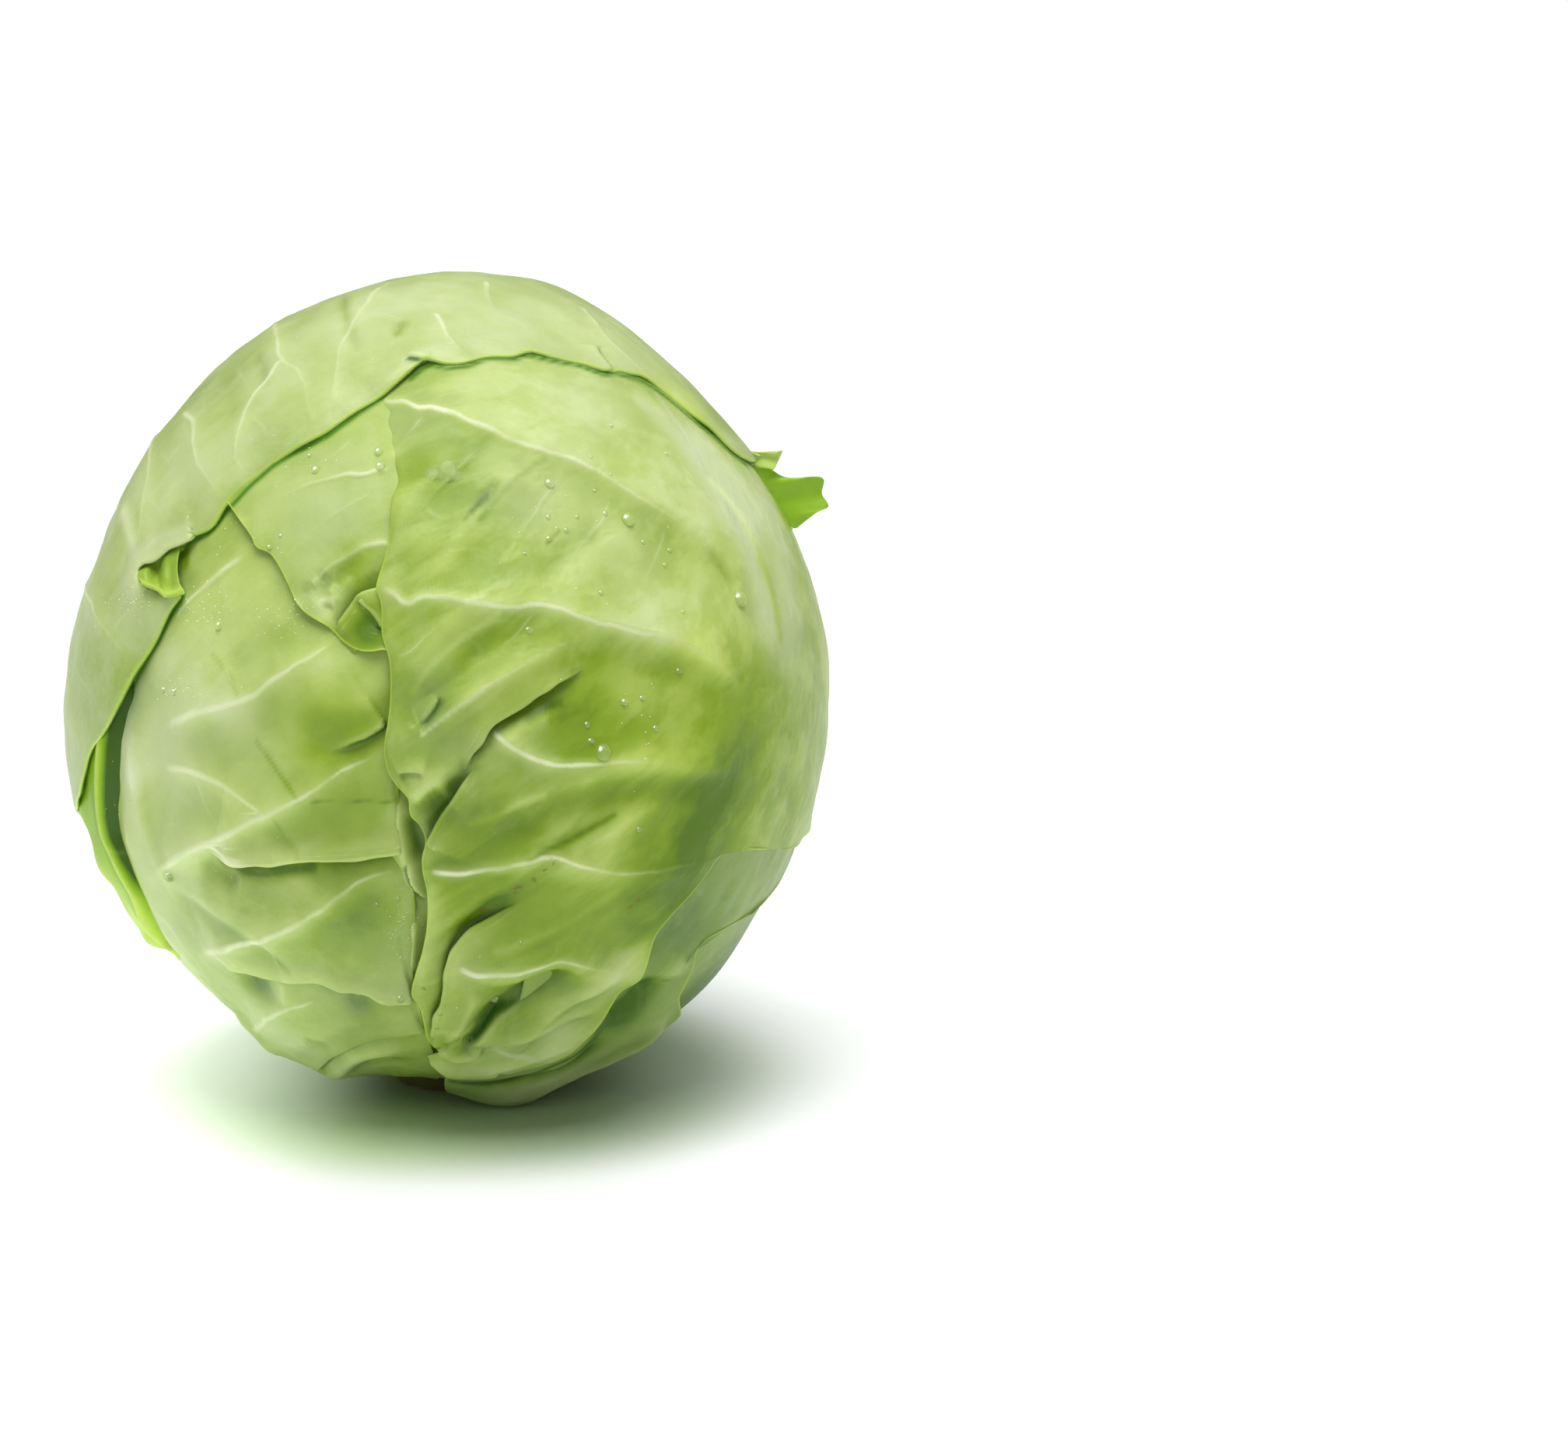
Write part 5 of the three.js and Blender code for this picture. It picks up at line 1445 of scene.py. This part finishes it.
FRILLS = [
    # root pixels along the head, edge pixels further out, depth of the edge's bow in mm
    ([(963, 600), (966, 611), (974, 626), (985, 645), (1001, 664), (1021, 682)],
     [(992, 607), (1011, 618), (1029, 618), (1059, 620), (1057, 640), (1065, 656), (1050, 663),
      (1025, 682)], 3.0),
    ([(944, 572), (952, 584), (960, 594), (967, 603)],
     [(975, 589), (994, 589), (1006, 583), (1000, 598), (993, 608), (980, 604)], 2.0),
]


def frills(look):
    """The cap leaf's torn corner at the right shoulder: each flap is a sheet ruled from a root
    line on the head to an edge line, bowed in depth, and both are one closed mesh."""
    points, faces = [], []
    rows, columns = 40, 18
    for root, edge, bow in FRILLS:
        lines = []
        for pixels in (root, edge):
            p = np.array(pixels, float)
            flat = np.stack([(p[:, 0] - AXIS_PIXEL[0]) * MM_PER_PIXEL, 0 * p[:, 0],
                             (AXIS_PIXEL[1] - p[:, 1]) * MM_PER_PIXEL + HEIGHT_OF_MIDDLE], -1)
            lines.append(smooth_line(flat, rows))
        t = np.linspace(0, 1, columns)[None, :, None]
        sheet = lines[0][:, None] * (1 - t) + lines[1][:, None] * t
        share = np.linspace(0, 1, rows)[:, None]
        curl = bow * np.sin(math.pi * share) * t[..., 0]
        sheet[..., 1] += FRILL_DEPTH + curl + 0.5 * np.sin(14 * share) * t[..., 0]
        sheet = sheet + 0.1 * unevenness(sheet, 4, 7)[..., None]
        back = sheet + np.array([0, look.leaf_thickness * 0.7, 0])
        faces += (closed_sheet(rows, columns) + sum(len(q) for q in points)).tolist()
        points += [sheet.reshape(-1, 3), back.reshape(-1, 3)]
    points = np.vstack(points)
    tone = np.repeat([-0.2, 1.0], len(points) // len(FRILLS))
    return make_object("cap_leaf_frill", points, faces,
                       leaf_material("cap_frill_green", FRILL_GREENS, 0.0), {"tone": tone})


def outer_left_leaf(look):
    blade = Blade(
        RISE["outer_left"],
        [at((-136, -78.5), (-146, -50), (-148, -15), (-142, 18)),
         at((-104, -78.5), (-108, -52), (-108, -15), (-108, 20)),
         np.vstack([at((-112, -78.5), (-104, -62), (-90, -48)), seen(*OUTER_LEFT_MARGIN),
                    at((-66, 22))])],
        rows=180, columns=96, across=((0, 0.6), (0.6, 1), (1, 2)))
    rumple(blade, (0.3, 18, 41))
    # towards its margin the leaf turns in under the left leaf, behind a crest
    sunk = 1 - smoothstep(blade.from_right, 0, 5)
    crest = np.exp(-(((blade.from_right - 6.6) / 2.2) ** 2))
    shaded_band = np.exp(-(((blade.from_right - 2.6) / 1.9) ** 2))
    upper = smoothstep(blade.d[..., 2], -0.52, -0.3)
    blade.lift += 0.9 * crest - 3.9 * sunk
    low = 1 - smoothstep(blade.d[..., 2], -0.69, -0.5)
    blade.lift -= 4.0 * low * (1 - smoothstep(blade.from_right, 18, 30))
    far = smoothstep(blade.from_right, 9, 15)
    # painted light on the crest and painted shade in the band just inside the margin, deep and vivid
    # where the leaf turns in; the far stretch and the low part are paler
    blade.marks["tone"] += 0.8 * crest + 0.6 * far - 1.9 * shaded_band * upper - 0.3 + 0.5 * (1 - upper)
    blade.marks["bloom_and_painted_light"] -= 0.8 * shaded_band * upper
    swell_spots(blade, OUTER_LEFT_SWELLS)
    margin(blade, blade.from_right, 0, 2)
    return blade.build("outer_left_leaf_blade", look.leaf_thickness,
                       leaf_material("outer_leaf_green", OUTER_GREENS, 0.0, rough=0.5))


def inner_leaf(look):
    blade = Blade(
        RISE["inner"],
        [at((-22, -79), (-26, -50), (-26, -20), (-22, 15)),
         at((-4, -79), (-6, -50), (-6, -20), (-6, 15)),
         at((14, -79), (14, -50), (16, -20), (10, 15))],
        rows=240, columns=120)
    crest = blade.seen((510, 1008), (513, 1050), (519, 1090), (528, 1130), (538, 1165))
    blade.ridge(crest, 2.6, 2.4, 2.0, 0.3)
    groove = blade.seen((524, 1040), (536, 1080), (543, 1110))
    blade.ridge(groove, -1.2, 2.0, 2.0, -0.6)
    pleat = blade.seen((520, 1110), (528, 1140), (538, 1151), (550, 1160))
    blade.fold(pleat, 1, 0.8, 2.5, 1.0, 2.0, 0.5)
    low_crest = blade.seen((533, 1165), (533, 1200), (529, 1260))
    blade.ridge(low_crest, 1.5, 1.5, 1.5, 0.1)
    rumple(blade, (0.15, 10, 51))
    return blade.build("inner_leaf_blade", look.leaf_thickness,
                       leaf_material("inner_leaf_fresh", INNER_GREENS, 0.1))


def under_leaf(look):
    blade = Blade(
        RISE["under"],
        [np.vstack([at((-4, -79.3)), seen((580, 1384)), at((14, -52), (18, -28), (28, -6))]),
         np.vstack([at((26, -79.3)), seen((690, 1380)), at((40, -55), (52, -30), (58, -6))]),
         np.vstack([at((50, -79.3), (58, -71)), seen(*UNDER_MARGIN), at((84, -26), (88, -6))])],
        rows=150, columns=110, across=((0, 0.7), (0.5, 1), (1, 1.4)))
    swell_spots(blade, UNDER_SWELLS)
    draw(blade, {}, {}, UNDER_RIDGES)
    rumple(blade, (0.2, 14, 61), (0.1, 6, 63))
    margin(blade, blade.from_right, 0.3, 3.0, 0.2, 12, 62)
    # painted shade: deeper patches low on the right and a deep stripe just under the right leaf's edge;
    # painted light: the pale patch at the foot
    paint_spots(blade, [((880, 1190), 14, -0.9), ((800, 1300), 9, -1.1), ((840, 1270), 9, 0.2),
                        ((690, 1405), 12, 1.6), ((798, 1292), 4, -0.5)])
    shade = blade.seen((580, 1390), (600, 1393), (636, 1391), (668, 1384), (704, 1372), (740, 1355),
                       (772, 1320))
    blade.stroke(shade, 0.8, -1.4)
    edge = blade.seen((911, 1232), (897, 1256), (880, 1285), (862, 1312), (845, 1326))
    blade.stroke(edge, 0.8, 0.5, "bloom_and_painted_light")
    return blade.build("under_leaf_blade", look.leaf_thickness,
                       leaf_material("under_leaf_green", UNDER_GREENS, 0.1))


def back_leaf(look):
    blade = Blade(
        RISE["back"],
        [at((40, -79.3), (52, -50), (62, -20), (72, 12), (80, 42)),
         at((104, -79.3), (120, -50), (130, -15), (132, 20), (130, 52)),
         at((168, -79.3), (178, -50), (184, -15), (184, 20), (190, 50))],
        rows=150, columns=120)
    midrib(blade, 1.5, 0.07)
    rumple(blade, (0.3, 20, 71))
    # painted shade: deeper green low on the right
    blade.paint(blade.seen((930, 1270))[0], 14, -1.2)
    return blade.build("back_leaf_blade", look.leaf_thickness,
                       leaf_material("back_leaf_green", UNDER_GREENS, 0.3))


def heart():
    """A fine closed ball under the leaves, at the head's radius less the heart's depth."""
    rows, columns = 60, 96
    e = np.linspace(-math.pi / 2, math.pi / 2, rows + 1)[1:-1, None]
    a = np.linspace(0, 2 * math.pi, columns, endpoint=False)[None, :]
    d = np.stack([np.sin(a) * np.cos(e), -np.cos(a) * np.cos(e), np.sin(e) + 0 * a], -1)
    d = np.vstack([d.reshape(-1, 3), [[0, 0, -1]], [[0, 0, 1]]])
    points = MIDDLE + d * (head_radius(d) + RISE["heart"])[:, None]
    grid = np.arange((rows - 1) * columns).reshape(rows - 1, columns)
    nxt = np.roll(grid, -1, axis=1)
    quads = np.stack([grid[:-1], nxt[:-1], nxt[1:], grid[1:]], -1).reshape(-1, 4).tolist()
    low, high = len(points) - 2, len(points) - 1
    quads += np.stack([nxt[0], grid[0], np.full(columns, low)], -1).tolist()
    quads += np.stack([grid[-1], nxt[-1], np.full(columns, high)], -1).tolist()
    return make_object("heart_ball", points, quads, heart_material())


def stalk():
    """A stump turned round the axis: a profile of radius and height, made uneven by sine waves
    round it, with a cut face at the bottom."""
    heart_bottom = HEIGHT_OF_MIDDLE - head_radius(np.array([0.0, 0.0, -1.0])) - RISE["heart"]
    profile = np.array([
        [0.01, 0], [4, 0], [8, 0], [STALK_RADIUS - 1.2, 0], [STALK_RADIUS - 0.4, 0.3],
        [STALK_RADIUS, 1], [STALK_RADIUS - 0.3, 2.4], [STALK_RADIUS - 0.1, 4], [13, 6.4],
        [11, 7.6], [6.6, heart_bottom - 4], [0.01, heart_bottom - 1]])
    around = np.linspace(0, 2 * math.pi, 96, endpoint=False)[None, :]
    r, z = profile[:, :1], profile[:, 1:]
    lobes = 0.018 * np.sin(5 * around + 1) * (z > 0.5)
    fibres = 0.012 * np.sin(13 * around) * (z > 0.5)
    r = r * (1 + lobes + fibres)
    points = np.stack([r * np.sin(around), -r * np.cos(around), z + 0 * around], -1)
    rows, columns = points.shape[:2]
    grid = np.arange(rows * columns).reshape(rows, columns)
    nxt = np.roll(grid, -1, axis=1)
    quads = np.stack([grid[:-1], nxt[:-1], nxt[1:], grid[1:]], -1).reshape(-1, 4)
    caps = [list(grid[0, ::-1]), list(grid[-1])]
    return make_object("stalk_stump", points.reshape(-1, 3), quads.tolist() + caps, stalk_material())


DROPS = [
    # pixel across, pixel down, width in mm, height over width
    (707, 622, 2.4, 0.45), (807, 669, 3.0, 0.5), (861, 708, 1.4, 0.4), (728, 682, 1.2, 0.4),
    (706, 693, 1.4, 0.4), (675, 712, 1.0, 0.4), (705, 665, 1.2, 0.4), (742, 665, 1.0, 0.4),
    (765, 631, 1.0, 0.4), (778, 660, 1.2, 0.4), (760, 588, 1.0, 0.4), (785, 610, 1.0, 0.4),
    (786, 547, 1.2, 0.4), (857, 584, 1.4, 0.4), (855, 727, 1.2, 0.4), (773, 762, 1.2, 0.4),
    (878, 787, 1.2, 0.4), (827, 697, 1.0, 0.4), (803, 903, 2.0, 0.5), (873, 863, 1.6, 0.4),
    (775, 968, 3.2, 0.5), (760, 953, 1.6, 0.4), (755, 932, 1.4, 0.4), (843, 937, 1.4, 0.4),
    (826, 898, 1.6, 0.4), (951, 771, 3.2, 0.5), (822, 1067, 1.6, 0.4), (681, 811, 2.0, 0.25),
    (282, 805, 1.8, 0.5), (211, 887, 1.6, 0.45), (224, 890, 1.6, 0.45), (218, 1126, 1.6, 0.4),
    (485, 1163, 1.2, 0.4), (512, 1156, 1.0, 0.4), (515, 1284, 1.8, 0.5), (636, 1283, 1.8, 0.4),
    (670, 1213, 1.0, 0.4), (562, 1321, 1.2, 0.4), (566, 1304, 1.0, 0.4), (406, 604, 2.0, 0.4),
    (398, 586, 1.2, 0.4), (489, 600, 2.2, 0.45), (487, 581, 2.0, 0.45), (347, 704, 1.6, 0.5),
    (361, 689, 1.0, 0.4), (217, 1127, 2.4, 0.5), (635, 1283, 2.2, 0.5), (575, 606, 4.4, 0.12),
    (556, 610, 3.4, 0.1), (588, 612, 3.0, 0.1),
]


SPRAYS = [
    # middle pixel, half width and half height in pixels, number of droplets
    (516, 1187, 24, 55, 90), (170, 775, 40, 26, 60), (262, 785, 40, 40, 50), (235, 890, 30, 16, 16),
    (370, 790, 40, 40, 40), (230, 870, 90, 60, 30),
    (395, 585, 60, 40, 24), (720, 660, 120, 90, 24), (820, 930, 90, 120, 18),
    (320, 690, 60, 50, 16),
    (600, 1300, 60, 60, 12), (440, 420, 160, 60, 12), (150, 1000, 50, 90, 10),
    (330, 1120, 120, 90, 12),
]


def sprayed():
    """The drops of DROPS, and seeded random droplets about 0.5 mm across around the SPRAYS."""
    rng = np.random.default_rng(17)
    drops = list(DROPS)
    for x, y, half_width, half_height, count in SPRAYS:
        for _ in range(count):
            away = rng.normal(size=2) * 0.5
            drops.append((x + away[0] * half_width, y + away[1] * half_height,
                          rng.uniform(0.18, 0.42), 0.4))
    return drops


def water_drops(look, blades):
    """Drops as one mesh: each is a flattened cap with a closed base sunk into the leaf where the
    sight line through its pixel meets the leaves. Two marks tell the material where to paint a
    glint, where a drop faces GLINT_FROM, and where to paint shade on its low rim."""
    rings, sides = 9, 20
    e = np.linspace(0, math.pi / 2, rings)[:, None]
    a = np.linspace(0, 2 * math.pi, sides, endpoint=False)[None, :]
    dome = np.stack([np.cos(a) * np.cos(e), np.sin(a) * np.cos(e), np.sin(e) + 0 * a], -1)
    dome = np.vstack([dome[:-1].reshape(-1, 3), [[0, 0, 1]], [[0, 0, -0.25]]])
    grid = np.arange((rings - 1) * sides).reshape(rings - 1, sides)
    nxt = np.roll(grid, -1, axis=1)
    top, low = (rings - 1) * sides, (rings - 1) * sides + 1
    faces = np.stack([grid[:-1], nxt[:-1], nxt[1:], grid[1:]], -1).reshape(-1, 4).tolist()
    faces += np.stack([grid[-1], nxt[-1], np.full(sides, top)], -1).tolist()
    faces += np.stack([nxt[0], grid[0], np.full(sides, low)], -1).tolist()
    trees = [BVHTree.FromPolygons([v.co for v in b.data.vertices],
                                  [p.vertices for p in b.data.polygons]) for b in blades]
    points, every, glints, low_rims = [], [], [], []
    for k, (px, py, width, flatness) in enumerate(sprayed()):
        across = (px - AXIS_PIXEL[0]) * MM_PER_PIXEL
        upward = (AXIS_PIXEL[1] - py) * MM_PER_PIXEL
        spot = np.array([0, 0, HEIGHT_OF_MIDDLE]) + across * SIGHT_RIGHT + upward * SIGHT_UP
        ray = Vector(unit(spot - EYE))
        hits = [hit for hit in (tree.ray_cast(Vector(EYE * METRE), ray) for tree in trees) if hit[0]]
        if not hits:
            continue
        place_hit, normal, _, _ = min(hits, key=lambda hit: hit[3])
        normal = np.array(normal)
        side = unit(np.cross(normal, [0.1, 0.2, 1.0]))
        up = np.cross(normal, side)
        wide = width / 2 * look.drop_scale
        shaped = dome * [wide, wide * (1.0 + 0.25 * math.sin(k * 2.3)), wide * 2 * flatness]
        turned = shaped @ np.stack([side, up, normal])
        points.append(np.array(place_hit) / METRE + turned)
        facing = unit(dome / [1, 1, 2 * flatness] + 1e-9) @ np.stack([side, up, normal])
        droplet = 1 - smoothstep(width, 0.6, 0.9)
        # painted glint where a drop faces GLINT_FROM, and painted shade on its low rim
        glint = smoothstep(facing @ unit(np.array(GLINT_FROM)), 0.95 - 0.35 * droplet, 0.99)
        glints.append(glint * smoothstep(flatness, 0.12, 0.3) * (1 - 0.3 * droplet))
        low_rim = smoothstep(-facing[:, 2], 0.2, 0.9) * smoothstep(-dome[:, 2], -0.75, -0.3)
        low_rims.append(low_rim * (1 - 0.7 * droplet))
        first = (len(points) - 1) * len(dome)
        every += [[first + i for i in face] for face in faces]
    marks = {"glint": np.concatenate(glints), "ring": np.concatenate(low_rims)}
    return make_object("water_drops", np.vstack(points), every, water_material(), marks)


# ---------------------------------------------------------------- the add-on


class CabbageLook(bpy.types.PropertyGroup):
    """Sizes and colours that shape the whole head."""

    leaf_thickness: FloatProperty(
        name="Leaf thickness", description="Thickness of a leaf blade, in millimetres",
        default=0.7, min=0.4, max=2.0)
    vein_width: FloatProperty(
        name="Vein width", description="Half the width of a main vein's pale line, in millimetres",
        default=0.75, min=0.2, max=3.0)
    drop_scale: FloatProperty(
        name="Drop scale", description="Size of the water drops against their own sizes",
        default=1.0, min=0.2, max=3.0, subtype="FACTOR")
    vein_colour: FloatVectorProperty(
        name="Vein colour", description="Pale colour of the ribs and veins",
        default=(0.93, 0.95, 0.80), size=3, min=0, max=1, subtype="COLOR_GAMMA")
    stalk_colour: FloatVectorProperty(
        name="Stalk colour", description="Tan of the cut stalk",
        default=(0.72, 0.58, 0.38), size=3, min=0, max=1, subtype="COLOR_GAMMA")


def blade_pieces():
    """The leaves that are built so far."""
    return [o for o in bpy.data.objects if o.name.endswith("_blade")]


class CABBAGE_OT_core(bpy.types.Operator):
    """Build the heart and the cut stalk"""

    bl_idname = "cabbage.core"
    bl_label = "Heart and Stalk"

    def execute(self, context):
        place(heart(), "heart", "heart_leaf")
        place(stalk(), "stalk", "stalk_cut")
        return {"FINISHED"}


class CABBAGE_OT_front_leaves(bpy.types.Operator):
    """Build the leaves that close the front: inner, left, middle and right"""

    bl_idname = "cabbage.front_leaves"
    bl_label = "Front Leaves"

    def execute(self, context):
        look = context.scene.cabbage_look
        place(inner_leaf(look), "inner_leaf", "inner_leaf_green")
        place(left_leaf(look), "left_leaf", "front_leaf_green")
        place(middle_leaf(look), "middle_leaf", "front_leaf_green")
        place(right_leaf(look), "right_leaf", "front_leaf_green")
        return {"FINISHED"}


class CABBAGE_OT_low_leaves(bpy.types.Operator):
    """Build the leaves under the right one and round the back"""

    bl_idname = "cabbage.low_leaves"
    bl_label = "Low and Back Leaves"

    def execute(self, context):
        look = context.scene.cabbage_look
        place(under_leaf(look), "under_leaf", "under_leaf_green")
        place(back_leaf(look), "back_leaf", "under_leaf_green")
        return {"FINISHED"}


class CABBAGE_OT_outer_leaves(bpy.types.Operator):
    """Build the outer left leaf and the cap leaf"""

    bl_idname = "cabbage.outer_leaves"
    bl_label = "Outer Leaves"

    def execute(self, context):
        look = context.scene.cabbage_look
        place(outer_left_leaf(look), "outer_left_leaf", "outer_leaf_green")
        place(cap_leaf(look), "cap_leaf", "cap_leaf_pale")
        place(frills(look), "cap_leaf", "cap_leaf_pale")
        return {"FINISHED"}


class CABBAGE_OT_drops(bpy.types.Operator):
    """Set water drops on the leaves"""

    bl_idname = "cabbage.drops"
    bl_label = "Water Drops"

    def execute(self, context):
        blades = blade_pieces()
        if not blades:
            raise RuntimeError("build the leaves before the drops")
        drops = water_drops(context.scene.cabbage_look, blades)
        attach(drops, "root")
        return {"FINISHED"}


class CABBAGE_OT_stage(bpy.types.Operator):
    """Set the floor, the lights and the camera"""

    bl_idname = "cabbage.stage"
    bl_label = "Stage"

    def execute(self, context):
        floor_plane()
        lights(context.scene)
        camera(context.scene)
        return {"FINISHED"}


def floor_plane():
    """A flat white floor that reaches to the horizon."""
    half = FLOOR_HALF
    corners = np.array([[-half, -half, 0.0], [half, -half, 0.0], [half, half, 0.0], [-half, half, 0.0]])
    make_object("paper_floor", corners, [[0, 1, 2, 3]], floor_material())


def lights(scene):
    """Surroundings that brighten from the horizon to overhead and are dimmer low on the right,
    plain white where the camera sees them, and one broad soft light from almost overhead."""
    world = bpy.data.worlds.new("white_studio")
    world.use_nodes = True
    sky = Nodes(world.node_tree)
    way = sky.add("TexCoord")
    rise = sky.span(sky.add("SeparateXYZ", {0: way}, output=2), *SKY)
    towards = sky.add("VectorMath", {0: way, 1: unit(np.array(DIM_SIDE))}, output=1,
                      operation="DOT_PRODUCT")
    dim = sky.span(towards, *DIM_REACH, 1.0, 1.0 - DIM_SHARE)
    in_view = sky.add("LightPath")
    strength = sky.math("MAXIMUM", sky.times(rise, dim), in_view)
    sky.fill(world.node_tree.nodes["Background"], {0: (1, 1, 1, 1), 1: strength})
    scene.world = world
    data = bpy.data.lights.new("soft_overhead", "SUN")
    data.energy = SUN_POWER
    data.angle = math.radians(SUN_SPREAD)
    lamp = bpy.data.objects.new("soft_overhead", data)
    lamp.rotation_euler = (-Vector(SUN_FROM)).to_track_quat("-Z", "Y").to_euler()
    scene.collection.objects.link(lamp)
    scene.view_settings.view_transform = "Standard"


def camera(scene):
    """A long lens, CAMERA_TILT above level, whose frame shows MM_PER_PIXEL."""
    data = bpy.data.cameras.new("camera")
    data.sensor_width = SENSOR_WIDTH
    data.lens = SENSOR_WIDTH * CAMERA_DISTANCE / (MM_PER_PIXEL * FRAME_SIZE[0])
    view = bpy.data.objects.new("camera", data)
    view.location = Vector(EYE * METRE)
    view.rotation_euler = (math.pi / 2 - CAMERA_TILT, 0, 0)
    scene.collection.objects.link(view)
    scene.camera = view


class CABBAGE_PT_panel(bpy.types.Panel):
    """Sidebar panel with the sizes, the colours and the build steps"""

    bl_idname = "CABBAGE_PT_panel"
    bl_label = "Cabbage Head"
    bl_space_type = "VIEW_3D"
    bl_region_type = "UI"
    bl_category = "Cabbage"

    def draw(self, context):
        look = context.scene.cabbage_look
        for name in CabbageLook.__annotations__:
            self.layout.prop(look, name)
        for step in STEPS:
            self.layout.operator(step.bl_idname)


STEPS = (
    CABBAGE_OT_core, CABBAGE_OT_front_leaves, CABBAGE_OT_low_leaves, CABBAGE_OT_outer_leaves,
    CABBAGE_OT_drops, CABBAGE_OT_stage,
)
CLASSES = (CabbageLook, *STEPS, CABBAGE_PT_panel)


def register():
    for cls in CLASSES:
        bpy.utils.register_class(cls)
    bpy.types.Scene.cabbage_look = PointerProperty(type=CabbageLook)


def unregister():
    del bpy.types.Scene.cabbage_look
    for cls in reversed(CLASSES):
        bpy.utils.unregister_class(cls)


def main():
    """Builds everything in order."""
    register()
    bpy.ops.cabbage.core()
    bpy.ops.cabbage.front_leaves()
    bpy.ops.cabbage.low_leaves()
    bpy.ops.cabbage.outer_leaves()
    bpy.ops.cabbage.drops()
    bpy.ops.cabbage.stage()


if __name__ == "__main__":
    main()
